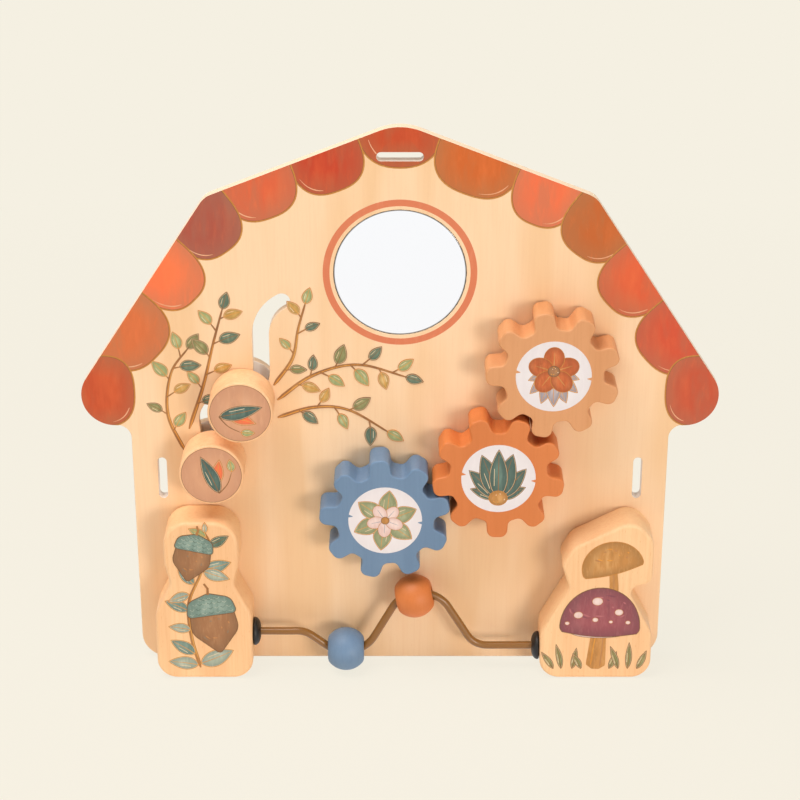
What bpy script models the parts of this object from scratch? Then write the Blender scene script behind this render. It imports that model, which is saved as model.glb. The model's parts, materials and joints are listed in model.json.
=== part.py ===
"""Toddler's wooden activity board, shaped like a small house, modelled piece by piece.

The panel stands on its lower edge and on two play blocks. It carries a mirror, a train of three
nine-tooth wheels, two buttons that ride in a winding slot, and a bent wire with two beads.
Metres, +Z up, +X to the right seen from the front, and the front faces -Y. The origin is on the
floor, in the middle of the whole board's width and depth.
"""

import math

import bmesh
import bpy
from mathutils import Matrix, Vector

# General clearances and mesh steps
SEAT_GAP = 0.0003
CUT_OVERSHOOT = 0.002
ARC_STEP = math.radians(24)
FINE_ARC_STEP = math.radians(11.5)
ROUND_STEPS = 28
BEAD_STEPS = 24
SMALL_ROUND_STEPS = 16
MIRROR_STEPS = 48

# Panel outline
BOARD_THICKNESS = 0.0080
BOARD_EDGE_ROUND = 0.0008
ROOF_APEX_HEIGHT = 0.3659
UPPER_ROOF_PITCH = math.radians(21.4)
SHOULDER_SPAN = 0.2366
EAVES_WIDTH = 0.4000
EAVES_UNDERSIDE = 0.1685
BODY_WIDTH = 0.3396
PEAK_RADIUS = 0.034
SHOULDER_RADIUS = 0.015
EAVE_RADIUS = 0.0205
EAVE_FILLET = 0.0090
FOOT_RADIUS = 0.017

# Slots for the fixing straps
STRAP_SLOT_LENGTH = 0.0285
STRAP_SLOT_WIDTH = 0.0057
TOP_SLOT_DROP = 0.0209
SIDE_SLOT_INSET = 0.0186
SIDE_SLOT_HEIGHT = 0.1316

# Mirror
MIRROR_DROP = 0.0951
MIRROR_DIAMETER = 0.0812
MIRROR_THICKNESS = 0.0022
MIRROR_SETBACK = 0.0006
MIRROR_EDGE_ROUND = 0.0003

# Wheel train
WHEEL_TEETH = 9
WHEEL_PITCH_DIAMETER = 0.0768
WHEEL_THICKNESS = 0.0220
WHEEL_EDGE_ROUND = 0.0009
TOOTH_ADDENDUM = 0.0032
TOOTH_DEDENDUM = 0.0072
TOOTH_BACKLASH = 0.0013
TOOTH_TAPER = math.radians(4)
TOOTH_TIP_RADIUS = 0.0048
TOOTH_ROOT_RADIUS = 0.0040
ORANGE_WHEEL_X = 0.0616
ORANGE_WHEEL_HEIGHT = 0.1425
ORANGE_WHEEL_PHASE = math.radians(-90.3)
BLUE_WHEEL_DIRECTION = math.radians(202.5)
TAN_WHEEL_DIRECTION = math.radians(64.9)

# Wheel bearings
AXLE_DIAMETER = 0.0120
AXLE_RUNNING_GAP = 0.00035
AXLE_DEPTH_IN_WHEEL = 0.0150
SPACER_DIAMETER = 0.0240
SPACER_THICKNESS = 0.0010
AXLE_BACK_PLAY = 0.0004
RETAINER_DIAMETER = 0.0200
RETAINER_THICKNESS = 0.0016

# Winding slot, from its top end
WINDING_SLOT_WIDTH = 0.0104
TOP_BEND_CENTRE_X = -0.0614
TOP_BEND_RADIUS = 0.0250
TOP_BEND_TURN = math.radians(63)
UPPER_RUN_LENGTH = 0.0240
SWING_BEND_RADIUS = 0.0200
RETURN_BEND_RADIUS = 0.0150
LOWER_RUN_LEAN = math.radians(8)
LOWER_BUTTON_DOWN_RUN = 0.0240
LOWER_BUTTON_TRAVEL = 0.0100
LOWER_BUTTON_OVER_BLOCK = 0.0019
UPPER_BUTTON_SWING = math.radians(67.3)

# Buttons that ride in the winding slot
BUTTON_DIAMETER = 0.0406
BUTTON_THICKNESS = 0.0237
BUTTON_EDGE_ROUND = 0.0014
SPINDLE_PLAY = 0.0004
SPINDLE_DEPTH_IN_BUTTON = 0.0160
KEEPER_DIAMETER = 0.0456
KEEPER_THICKNESS = 0.0060
KEEPER_EDGE_ROUND = 0.0008
KEEPER_FRONT_PLAY = 0.0008
KEEPER_BACK_PLAY = 0.0007

# Screws: pan heads on plain shanks
FIXING_SCREW_SHANK = 0.0036
FIXING_SCREW_LENGTH = 0.0120
FIXING_SCREW_HEAD = 0.0076
FIXING_SCREW_HEAD_HEIGHT = 0.0022
BLOCK_SCREW_SHANK = 0.0042
BLOCK_SCREW_LENGTH = 0.0220
BLOCK_SCREW_HEAD = 0.0084
BLOCK_SCREW_HEAD_HEIGHT = 0.0024

# Play blocks
BLOCK_DEPTH = 0.0270
BLOCK_EDGE_ROUND = 0.0028
BLOCK_HEIGHT = 0.1130
LEFT_BLOCK_INSET = 0.0125
LEFT_BLOCK_FOOT_WIDTH = 0.0620
LEFT_BLOCK_FOOT_HEIGHT = 0.0470
LEFT_BLOCK_WAIST_WIDTH = 0.0400
LEFT_BLOCK_WAIST_HEIGHT = 0.0690
LEFT_BLOCK_HEAD_WIDTH = 0.0475
LEFT_BLOCK_HEAD_BASE = 0.0830
RIGHT_BLOCK_INSET = 0.0073
RIGHT_BLOCK_FOOT_WIDTH = 0.0720
RIGHT_BLOCK_FOOT_HEIGHT = 0.0330
RIGHT_BLOCK_WAIST_WIDTH = 0.0370
RIGHT_BLOCK_WAIST_HEIGHT = 0.0660
RIGHT_BLOCK_CAP_WIDTH = 0.0580
RIGHT_BLOCK_CAP_LEFT_HEIGHT = 0.0820
RIGHT_BLOCK_CAP_RIGHT_HEIGHT = 0.0700
RIGHT_BLOCK_LEFT_SHOULDER = 0.0950
RIGHT_BLOCK_RIGHT_SHOULDER = 0.1000
RIGHT_BLOCK_CAP_SLOPE = 0.0200
BLOCK_FOOT_RADIUS = 0.0130
BLOCK_SOFT_RADIUS = 0.0160
BLOCK_WAIST_RADIUS = 0.0120
BLOCK_SCREW_LOW = 0.0300
BLOCK_SCREW_HIGH = 0.0900

# Bead wire, as straight runs that meet at corners rounded by bends
WIRE_DIAMETER = 0.0050
WIRE_STANDOFF = 0.0150
WIRE_LEFT_HEIGHT = 0.0282
WIRE_RIGHT_HEIGHT = 0.0176
WIRE_FIRST_CORNER_X = -0.0614
WIRE_TROUGH_X = -0.0288
WIRE_TROUGH_HEIGHT = 0.0024
WIRE_CREST_X = 0.0126
WIRE_CREST_HEIGHT = 0.0775
WIRE_LAST_CORNER_X = 0.0483
WIRE_END_BEND = 0.0150
WIRE_BEAD_BEND = 0.0209
WIRE_DEPTH_IN_BLOCK = 0.0150

# Grommets where the wire enters the blocks
GROMMET_DIAMETER = 0.0184
GROMMET_DOME_HEIGHT = 0.0046
GROMMET_STEM_DIAMETER = 0.0100
GROMMET_STEM_LENGTH = 0.0080

# Beads
BEAD_DIAMETER = 0.0280
BEAD_LENGTH = 0.0234
BEAD_PLAY = 0.0004
CREST_BEAD_ANGLE = math.radians(12)

# Depths and positions that follow from the sizes above
MIRROR_HEIGHT = ROOF_APEX_HEIGHT - MIRROR_DROP
LOWEST_BUTTON_HEIGHT = BLOCK_HEIGHT + LOWER_BUTTON_OVER_BLOCK + BUTTON_DIAMETER / 2
WHEEL_BACK_STANDOFF = SPACER_THICKNESS + 2 * SEAT_GAP
KEEPER_FRONT = BOARD_THICKNESS + KEEPER_FRONT_PLAY
BUTTON_STACK_BACK = (
    KEEPER_FRONT + KEEPER_THICKNESS + KEEPER_BACK_PLAY + RETAINER_THICKNESS + SEAT_GAP + FIXING_SCREW_HEAD_HEIGHT
)
FRONT_REACH = max(
    WIRE_STANDOFF + BEAD_DIAMETER / 2,
    BLOCK_DEPTH + SEAT_GAP,
    WHEEL_BACK_STANDOFF + WHEEL_THICKNESS,
    SEAT_GAP + BUTTON_THICKNESS,
)
FACE_Y = (FRONT_REACH - BUTTON_STACK_BACK) / 2


def clear_scene():
    """Remove every object, so that the script starts from an empty scene."""
    for thing in list(bpy.data.objects):
        bpy.data.objects.remove(thing, do_unlink=True)


def make_finish(name, colour, roughness, metallic=0.0):
    """Return a Principled BSDF material with the given linear colour."""
    finish = bpy.data.materials.new(name)
    finish.use_nodes = True
    shader = finish.node_tree.nodes["Principled BSDF"]
    shader.inputs["Base Color"].default_value = (*colour, 1.0)
    shader.inputs["Roughness"].default_value = roughness
    shader.inputs["Metallic"].default_value = metallic
    finish.diffuse_color = (*colour, 1.0)
    return finish


def polar(radius, angle):
    """Return the point of the X-Z plane at this radius and angle from the origin."""
    return Vector((radius * math.cos(angle), radius * math.sin(angle)))


class Bend:
    """The arc that rounds one corner of a path: its centre, radius, first angle and turn."""

    def __init__(self, before, corner, after, radius):
        arriving = (corner - before).normalized()
        leaving = (after - corner).normalized()
        self.turn = math.atan2(arriving.cross(leaving), arriving.dot(leaving))
        self.radius = radius
        side = math.copysign(1.0, self.turn)
        start = corner - arriving * radius * math.tan(abs(self.turn) / 2)
        self.centre = start + Vector((-arriving.y, arriving.x)) * radius * side
        self.first = math.atan2(start.y - self.centre.y, start.x - self.centre.x)

    def points(self, largest_step=ARC_STEP):
        """Return the points along the arc."""
        steps = max(2, math.ceil(abs(self.turn) / largest_step))
        return [self.centre + polar(self.radius, self.first + self.turn * step / steps) for step in range(steps + 1)]


def rounded_outline(corners):
    """Return a closed outline from (x, z, radius) corners, each rounded by its radius."""
    outline = []
    for index, (x, z, radius) in enumerate(corners):
        corner = Vector((x, z))
        before = Vector(corners[index - 1][:2])
        after = Vector(corners[(index + 1) % len(corners)][:2])
        outline += Bend(before, corner, after, radius).points() if radius else [corner]
    return outline


def mirrored(right_half):
    """Return the corners of a symmetric outline from those of its right half, bottom to top."""
    return right_half + [(-x, z, radius) for x, z, radius in reversed(right_half) if x > 0]


def capsule(length, width, centre, upright=False):
    """Return the outline of a slot with round ends."""
    reach = (length - width) / 2
    steps = max(4, round(math.pi / ARC_STEP / 2) * 2)
    outline = []
    for side, first in ((1, -math.pi / 2), (-1, math.pi / 2)):
        for step in range(steps + 1):
            point = polar(width / 2, first + math.pi * step / steps) + Vector((side * reach, 0))
            outline.append(centre + (Vector((-point.y, point.x)) if upright else point))
    return outline


class SlotRoute:
    """The middle line of the winding slot, run out like a tape from its top end."""

    def __init__(self, start, heading):
        self.heading = heading
        self.stations = [(start.copy(), heading)]

    @property
    def end(self):
        """The last point of the route so far."""
        return self.stations[-1][0]

    def run(self, length):
        """Add a straight run."""
        self.stations.append((self.end + polar(length, self.heading), self.heading))

    def bend(self, radius, turn):
        """Add a bend, to the left where the turn is positive, and return its centre."""
        side = math.copysign(1.0, turn)
        centre = self.end + polar(radius, self.heading + side * math.pi / 2)
        steps = max(2, math.ceil(abs(turn) / FINE_ARC_STEP))
        first = self.heading
        for step in range(1, steps + 1):
            heading = first + turn * step / steps
            self.stations.append((centre - polar(radius, heading + side * math.pi / 2), heading))
        self.heading = first + turn
        return centre

    def outline(self, width):
        """Return the slot's outline: one side, a round end, the other side and a round end."""
        steps = round(math.pi / ARC_STEP)
        left = [point + polar(width / 2, heading + math.pi / 2) for point, heading in self.stations]
        right = [point + polar(width / 2, heading - math.pi / 2) for point, heading in self.stations]
        last_point, last_heading = self.stations[-1]
        first_point, first_heading = self.stations[0]
        far_end = [
            last_point + polar(width / 2, last_heading + math.pi / 2 - math.pi * step / steps)
            for step in range(1, steps)
        ]
        near_end = [
            first_point + polar(width / 2, first_heading - math.pi / 2 - math.pi * step / steps)
            for step in range(1, steps)
        ]
        return left + far_end + right[::-1] + near_end


def finished_mesh(name, shape):
    """Turn a bmesh into a mesh with outward faces and soft shading on its round sides."""
    bmesh.ops.recalc_face_normals(shape, faces=shape.faces)
    mesh = bpy.data.meshes.new(name)
    shape.to_mesh(mesh)
    shape.free()
    mesh.shade_smooth()
    mesh.set_sharp_from_angle(angle=math.radians(35))
    return mesh


def plate(name, outline, front, back, edge_round=0.0, edge_steps=1):
    """Return a mesh cut to an outline of the X-Z plane, from depth front to depth back along Y."""
    shape = bmesh.new()
    face = shape.faces.new([shape.verts.new((point.x, front, point.y)) for point in outline])
    grown = bmesh.ops.extrude_face_region(shape, geom=[face])["geom"]
    far_verts = [item for item in grown if isinstance(item, bmesh.types.BMVert)]
    bmesh.ops.translate(shape, verts=far_verts, vec=(0, back - front, 0))
    if edge_round:
        rims = [edge for edge in shape.edges if abs(edge.verts[0].co.y - edge.verts[1].co.y) < SEAT_GAP]
        bmesh.ops.bevel(
            shape, geom=rims, offset=edge_round, segments=edge_steps, affect="EDGES", profile=0.5, material=-1
        )
    return finished_mesh(name, shape)


def turned(name, profile, steps=ROUND_STEPS, ring=False):
    """Return a mesh turned about the Y axis from (radius, depth) points; a ring's profile is closed."""
    shape = bmesh.new()
    verts = [shape.verts.new((radius, depth, 0)) for radius, depth in profile]
    pairs = list(zip(verts, verts[1:])) + ([(verts[-1], verts[0])] if ring else [])
    edges = [shape.edges.new(pair) for pair in pairs]
    bmesh.ops.spin(
        shape,
        geom=verts + edges,
        cent=(0, 0, 0),
        axis=(0, 1, 0),
        angle=2 * math.pi,
        steps=steps,
        use_merge=True,
        use_duplicate=False,
    )
    bmesh.ops.remove_doubles(shape, verts=shape.verts, dist=SEAT_GAP / 100)
    return finished_mesh(name, shape)


def ring_profile(outer, inner, thickness):
    """Return the turned profile of a flat ring, such as a washer."""
    return [(inner / 2, 0), (outer / 2, 0), (outer / 2, thickness), (inner / 2, thickness)]


def rounded_disc_profile(diameter, front, back, edge_round, bore=0.0, steps=2):
    """Return the turned profile of a disc with rounded rims and, where bore is set, a hole."""
    radius = diameter / 2
    quarter = [math.pi / 2 * step / steps for step in range(steps + 1)]
    inner = radius - edge_round
    front_rim = [(inner + edge_round * math.sin(a), front + edge_round * (1 - math.cos(a))) for a in quarter]
    back_rim = [(inner + edge_round * math.cos(a), back - edge_round * (1 - math.sin(a))) for a in quarter]
    return [(bore / 2, front)] + front_rim + back_rim + [(bore / 2, back)]


def add_piece(name, mesh, finish, place, parent=None):
    """Link a piece to the scene at a place, with its finish, and hang it on its parent."""
    piece = bpy.data.objects.new(name, mesh)
    bpy.context.scene.collection.objects.link(piece)
    piece.data.materials.append(finish)
    piece.location = place
    if parent:
        piece.parent = parent
        piece.location = Vector(place) - parent.location
    return piece


def add_pivot(name, place):
    """Add an empty on a joint's axis, for the pieces that turn or slide together."""
    pivot = bpy.data.objects.new(name, None)
    bpy.context.scene.collection.objects.link(pivot)
    pivot.location = place
    return pivot


def cutter_collection(name):
    """Return a new collection that holds the cutters of one piece."""
    cutters = bpy.data.collections.new(name)
    bpy.context.scene.collection.children.link(cutters)
    return cutters


def add_cutter(cutters, mesh, place):
    """Put a cutter into a collection, hidden from the render."""
    cutter = bpy.data.objects.new(mesh.name, mesh)
    cutters.objects.link(cutter)
    cutter.location = place
    cutter.hide_render = True
    cutter.display_type = "WIRE"
    return cutter


def cut_away(piece, cutters):
    """Subtract every cutter of a collection from a piece."""
    cut = piece.modifiers.new(cutters.name, "BOOLEAN")
    cut.operation = "DIFFERENCE"
    cut.solver = "EXACT"
    cut.operand_type = "COLLECTION"
    cut.collection = cutters


def hole_mesh(name, diameter, front, back, steps=SMALL_ROUND_STEPS):
    """Return a plain round cutter between two depths."""
    radius = diameter / 2
    return turned(name, [(0, front), (radius, front), (radius, back), (0, back)], steps)


def on_face(x, height, depth=0.0):
    """Return the world position of a point of the panel's front face, at a depth behind it."""
    return Vector((x, FACE_Y + depth, height))


def screw_mesh(name, shank, length, head, head_height):
    """Return a pan-head screw that points to -Y, with the underside of its head at the origin."""
    dome = head_height * 0.45
    profile = [
        (0, -length),
        (shank / 2, -length + shank),
        (shank / 2, 0),
        (head / 2, 0),
        (head / 2, head_height - dome),
        (head * 0.32, head_height),
        (0, head_height),
    ]
    return turned(name, profile, SMALL_ROUND_STEPS)


class Finishes:
    """The paints, woods, plastics and metals of the board."""

    def __init__(self):
        self.plywood = make_finish("lacquered plywood", (0.93, 0.68, 0.44), 0.45)
        self.beech = make_finish("sanded beech", (0.90, 0.62, 0.38), 0.55)
        self.orange = make_finish("orange wood stain", (0.68, 0.22, 0.07), 0.5)
        self.blue = make_finish("grey-blue wood stain", (0.19, 0.28, 0.42), 0.5)
        self.tan = make_finish("tan wood stain", (0.70, 0.35, 0.16), 0.5)
        self.mirror = make_finish("acrylic mirror", (0.93, 0.94, 0.95), 0.03, 1.0)
        self.wire = make_finish("brown coated wire", (0.27, 0.12, 0.05), 0.3, 0.2)
        self.grommet = make_finish("black grommet", (0.015, 0.013, 0.012), 0.4)
        self.nylon = make_finish("natural nylon", (0.82, 0.80, 0.74), 0.4)
        self.steel = make_finish("zinc plated steel", (0.60, 0.60, 0.60), 0.3, 1.0)


def slot_route(top_height=0.0):
    """Return the winding slot's middle line and both buttons' places, for a top bend at this height."""
    first = math.pi - TOP_BEND_TURN
    centre = Vector((TOP_BEND_CENTRE_X, top_height))
    route = SlotRoute(centre + polar(TOP_BEND_RADIUS, first), first + math.pi / 2)
    route.bend(TOP_BEND_RADIUS, TOP_BEND_TURN)
    route.run(UPPER_RUN_LENGTH)
    swing_centre = route.bend(SWING_BEND_RADIUS, -math.pi / 2)
    route.bend(RETURN_BEND_RADIUS, math.pi / 2 + LOWER_RUN_LEAN)
    upper_place = swing_centre + polar(SWING_BEND_RADIUS, -UPPER_BUTTON_SWING)
    lower_place = route.end + polar(LOWER_BUTTON_DOWN_RUN, route.heading)
    route.run(LOWER_BUTTON_DOWN_RUN + LOWER_BUTTON_TRAVEL)
    return route, upper_place, lower_place


def seated_slot_route():
    """Return the slot's route, hung so that the lower button just clears the left block."""
    drop = slot_route()[0].end.y
    return slot_route(LOWEST_BUTTON_HEIGHT - drop)


def board_corners():
    """Return the corners of the house outline, with the lower roof slope tangent to the eave's round."""
    shoulder = Vector((SHOULDER_SPAN / 2, ROOF_APEX_HEIGHT - SHOULDER_SPAN / 2 * math.tan(UPPER_ROOF_PITCH)))
    eave_centre = Vector((EAVES_WIDTH / 2 - EAVE_RADIUS, EAVES_UNDERSIDE + EAVE_RADIUS))
    down = eave_centre - shoulder
    slope = math.atan2(down.y, down.x) + math.asin(EAVE_RADIUS / down.length)
    eave_corner_x = shoulder.x + (EAVES_UNDERSIDE - shoulder.y) / math.tan(slope)
    return mirrored(
        [
            (BODY_WIDTH / 2, 0, FOOT_RADIUS),
            (BODY_WIDTH / 2, EAVES_UNDERSIDE, EAVE_FILLET),
            (eave_corner_x, EAVES_UNDERSIDE, EAVE_RADIUS),
            (shoulder.x, shoulder.y, SHOULDER_RADIUS),
            (0, ROOF_APEX_HEIGHT, PEAK_RADIUS),
        ]
    )


def side_slot_places():
    """Return the middle of each side's strap slot."""
    x = BODY_WIDTH / 2 - SIDE_SLOT_INSET
    return Vector((-x, SIDE_SLOT_HEIGHT)), Vector((x, SIDE_SLOT_HEIGHT))


def wheel_places():
    """Return each wheel's name, axis place and first tooth's angle, in mesh with the orange one."""
    middle = Vector((ORANGE_WHEEL_X, ORANGE_WHEEL_HEIGHT))
    pitch = 2 * math.pi / WHEEL_TEETH
    places = [("orange", middle, ORANGE_WHEEL_PHASE)]
    for name, direction in (("blue", BLUE_WHEEL_DIRECTION), ("tan", TAN_WHEEL_DIRECTION)):
        tooth_from_line = ORANGE_WHEEL_PHASE - direction
        facing_gap = direction + math.pi - tooth_from_line
        places.append((name, middle + polar(WHEEL_PITCH_DIAMETER, direction), facing_gap + pitch / 2))
    return places


def wheel_outline(phase):
    """Return a toothed wheel's outline, with softly rounded teeth and valleys."""
    pitch_radius = WHEEL_PITCH_DIAMETER / 2
    half_width = (2 * math.pi * pitch_radius / WHEEL_TEETH - TOOTH_BACKLASH) / 4
    tip_half = half_width - TOOTH_ADDENDUM * math.tan(TOOTH_TAPER)
    root_half = half_width + TOOTH_DEDENDUM * math.tan(TOOTH_TAPER)
    root_reach = math.sqrt((pitch_radius - TOOTH_DEDENDUM) ** 2 - root_half**2)
    tip_reach = pitch_radius + TOOTH_ADDENDUM
    corners = []
    for tooth in range(WHEEL_TEETH):
        turn = Matrix.Rotation(phase + 2 * math.pi * tooth / WHEEL_TEETH, 2)
        for reach, half, radius in (
            (root_reach, -root_half, TOOTH_ROOT_RADIUS),
            (tip_reach, -tip_half, TOOTH_TIP_RADIUS),
            (tip_reach, tip_half, TOOTH_TIP_RADIUS),
            (root_reach, root_half, TOOTH_ROOT_RADIUS),
        ):
            corner = turn @ Vector((reach, half))
            corners.append((corner.x, corner.y, radius))
    return rounded_outline(corners)


def left_block_corners():
    """Return the corners of the left block, a soft pear, and its middle line's X."""
    middle = -BODY_WIDTH / 2 + LEFT_BLOCK_INSET + LEFT_BLOCK_FOOT_WIDTH / 2
    half = [
        (LEFT_BLOCK_FOOT_WIDTH / 2, 0, BLOCK_FOOT_RADIUS),
        (LEFT_BLOCK_FOOT_WIDTH / 2, LEFT_BLOCK_FOOT_HEIGHT, BLOCK_SOFT_RADIUS),
        (LEFT_BLOCK_WAIST_WIDTH / 2, LEFT_BLOCK_WAIST_HEIGHT, BLOCK_WAIST_RADIUS),
        (LEFT_BLOCK_HEAD_WIDTH / 2, LEFT_BLOCK_HEAD_BASE, BLOCK_WAIST_RADIUS),
        (LEFT_BLOCK_HEAD_WIDTH / 2, BLOCK_HEIGHT, BLOCK_SOFT_RADIUS),
    ]
    return mirrored(half), middle


def right_block_corners():
    """Return the corners of the right block, a toadstool with a leaning cap, and its middle line's X."""
    middle = BODY_WIDTH / 2 - RIGHT_BLOCK_INSET - RIGHT_BLOCK_FOOT_WIDTH / 2
    foot = RIGHT_BLOCK_FOOT_WIDTH / 2
    waist = RIGHT_BLOCK_WAIST_WIDTH / 2
    cap_right = foot - BLOCK_EDGE_ROUND / 2
    cap_left = cap_right - RIGHT_BLOCK_CAP_WIDTH
    shoulder_step = RIGHT_BLOCK_LEFT_SHOULDER - RIGHT_BLOCK_CAP_LEFT_HEIGHT
    peak = RIGHT_BLOCK_LEFT_SHOULDER + RIGHT_BLOCK_CAP_SLOPE
    corners = [
        (foot, 0, BLOCK_FOOT_RADIUS),
        (foot, RIGHT_BLOCK_FOOT_HEIGHT, BLOCK_WAIST_RADIUS),
        (waist, RIGHT_BLOCK_WAIST_HEIGHT, BLOCK_WAIST_RADIUS / 2),
        (cap_right, RIGHT_BLOCK_CAP_RIGHT_HEIGHT, BLOCK_WAIST_RADIUS / 2),
        (cap_right, RIGHT_BLOCK_RIGHT_SHOULDER, BLOCK_FOOT_RADIUS),
        (cap_right - shoulder_step, peak, BLOCK_FOOT_RADIUS),
        (cap_left + shoulder_step / 2, RIGHT_BLOCK_LEFT_SHOULDER, BLOCK_FOOT_RADIUS),
        (cap_left, RIGHT_BLOCK_CAP_LEFT_HEIGHT, BLOCK_WAIST_RADIUS / 2),
        (-waist, RIGHT_BLOCK_WAIST_HEIGHT, BLOCK_WAIST_RADIUS / 2),
        (-foot, RIGHT_BLOCK_FOOT_HEIGHT, BLOCK_WAIST_RADIUS),
        (-foot, 0, BLOCK_FOOT_RADIUS),
    ]
    return corners, middle


def block_screw_places(middle):
    """Return the name and place of each of a block's two screws."""
    return ("lower", Vector((middle, BLOCK_SCREW_LOW))), ("upper", Vector((middle, BLOCK_SCREW_HIGH)))


def wire_corners():
    """Return the wire's corners in the X-Z plane, from inside the left block to inside the right."""
    left_side = left_block_corners()[1] + LEFT_BLOCK_FOOT_WIDTH / 2
    right_side = right_block_corners()[1] - RIGHT_BLOCK_FOOT_WIDTH / 2
    return [
        Vector((left_side - WIRE_DEPTH_IN_BLOCK, WIRE_LEFT_HEIGHT)),
        Vector((WIRE_FIRST_CORNER_X, WIRE_LEFT_HEIGHT)),
        Vector((WIRE_TROUGH_X, WIRE_TROUGH_HEIGHT)),
        Vector((WIRE_CREST_X, WIRE_CREST_HEIGHT)),
        Vector((WIRE_LAST_CORNER_X, WIRE_RIGHT_HEIGHT)),
        Vector((right_side + WIRE_DEPTH_IN_BLOCK, WIRE_RIGHT_HEIGHT)),
    ]


def wire_bends():
    """Return the wire's four bends, from left to right."""
    corners = wire_corners()
    radii = (WIRE_END_BEND, WIRE_BEAD_BEND, WIRE_BEAD_BEND, WIRE_END_BEND)
    return [Bend(corners[i], corners[i + 1], corners[i + 2], radius) for i, radius in enumerate(radii)]


def build_board(finishes, route, wheels, block_middles):
    """Build the panel: house outline, strap slots, winding slot, mirror seat and bores."""
    panel_mesh = plate("board_panel", rounded_outline(board_corners()), 0, BOARD_THICKNESS, BOARD_EDGE_ROUND)
    panel = add_piece("board_panel", panel_mesh, finishes.plywood, on_face(0, 0))
    cutters = cutter_collection("board cutters")
    through = (-CUT_OVERSHOOT, BOARD_THICKNESS + CUT_OVERSHOOT)
    top_place = Vector((0, ROOF_APEX_HEIGHT - TOP_SLOT_DROP))
    left_place, right_place = side_slot_places()
    slots = [
        ("top strap slot", capsule(STRAP_SLOT_LENGTH, STRAP_SLOT_WIDTH, top_place)),
        ("left strap slot", capsule(STRAP_SLOT_LENGTH, STRAP_SLOT_WIDTH, left_place, upright=True)),
        ("right strap slot", capsule(STRAP_SLOT_LENGTH, STRAP_SLOT_WIDTH, right_place, upright=True)),
        ("winding slot", route.outline(WINDING_SLOT_WIDTH)),
    ]
    for name, outline in slots:
        add_cutter(cutters, plate(name, outline, *through), on_face(0, 0))
    seat_depth = MIRROR_SETBACK + MIRROR_THICKNESS + SEAT_GAP
    seat = hole_mesh("mirror seat", MIRROR_DIAMETER + 2 * SEAT_GAP, -CUT_OVERSHOOT, seat_depth, MIRROR_STEPS)
    add_cutter(cutters, seat, on_face(0, MIRROR_HEIGHT))
    for name, place, _ in wheels:
        bore = hole_mesh(f"{name} axle bore", AXLE_DIAMETER + 2 * AXLE_RUNNING_GAP, *through, ROUND_STEPS)
        add_cutter(cutters, bore, on_face(place.x, place.y))
    for side, middle in block_middles.items():
        for level, place in block_screw_places(middle):
            add_cutter(cutters, screw_hole_mesh(f"{side} {level} screw hole"), on_face(place.x, place.y))
    cut_away(panel, cutters)
    return panel


def counterbore_floor():
    """Return the depth behind the panel's face at which the block screws' heads seat."""
    return BOARD_THICKNESS - BLOCK_SCREW_HEAD_HEIGHT - SEAT_GAP


def screw_hole_mesh(name):
    """Return the stepped cutter for a block screw: a clearance hole and its counterbore."""
    shank = BLOCK_SCREW_SHANK / 2 + SEAT_GAP
    head = BLOCK_SCREW_HEAD / 2 + SEAT_GAP
    floor = counterbore_floor() - SEAT_GAP
    back = BOARD_THICKNESS + CUT_OVERSHOOT
    return turned(
        name, [(0, -CUT_OVERSHOOT), (shank, -CUT_OVERSHOOT), (shank, floor), (head, floor), (head, back), (0, back)],
        SMALL_ROUND_STEPS,
    )


def build_mirror(finishes):
    """Build the mirror plate, set just below the panel's face."""
    profile = rounded_disc_profile(MIRROR_DIAMETER, 0, MIRROR_THICKNESS, MIRROR_EDGE_ROUND, steps=1)
    mesh = turned("mirror_plate", profile, MIRROR_STEPS)
    return add_piece("mirror_plate", mesh, finishes.mirror, on_face(0, MIRROR_HEIGHT, MIRROR_SETBACK))


def build_wheel(name, place, phase, finish, finishes):
    """Build one toothed wheel with its axle, spacer, retaining washer and screw."""
    pivot = add_pivot(f"{name} wheel pivot", on_face(place.x, place.y))
    front = -WHEEL_BACK_STANDOFF - WHEEL_THICKNESS
    wheel_mesh = plate(f"{name}_wheel", wheel_outline(phase), front, -WHEEL_BACK_STANDOFF, WHEEL_EDGE_ROUND)
    wheel = add_piece(f"{name}_wheel", wheel_mesh, finish, pivot.location, pivot)
    cutters = cutter_collection(f"{name} wheel cutters")
    bore_floor = -WHEEL_BACK_STANDOFF - AXLE_DEPTH_IN_WHEEL - SEAT_GAP
    bore = hole_mesh(f"{name} wheel bore", AXLE_DIAMETER + 2 * SEAT_GAP, bore_floor, CUT_OVERSHOOT)
    add_cutter(cutters, bore, pivot.location)
    cut_away(wheel, cutters)
    axle_back = BOARD_THICKNESS + AXLE_BACK_PLAY
    add_peg(f"{name}_wheel_axle", AXLE_DIAMETER, bore_floor + SEAT_GAP, axle_back, finishes.beech, pivot)
    spacer = ring_profile(SPACER_DIAMETER, AXLE_DIAMETER + 2 * AXLE_RUNNING_GAP, SPACER_THICKNESS)
    spacer_mesh = turned(f"{name}_wheel_spacer", spacer, SMALL_ROUND_STEPS, ring=True)
    spacer_place = pivot.location + Vector((0, -SPACER_THICKNESS - SEAT_GAP, 0))
    add_piece(f"{name}_wheel_spacer", spacer_mesh, finishes.nylon, spacer_place, pivot)
    add_retainer(f"{name}_wheel", axle_back + SEAT_GAP, pivot, finishes)


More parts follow.
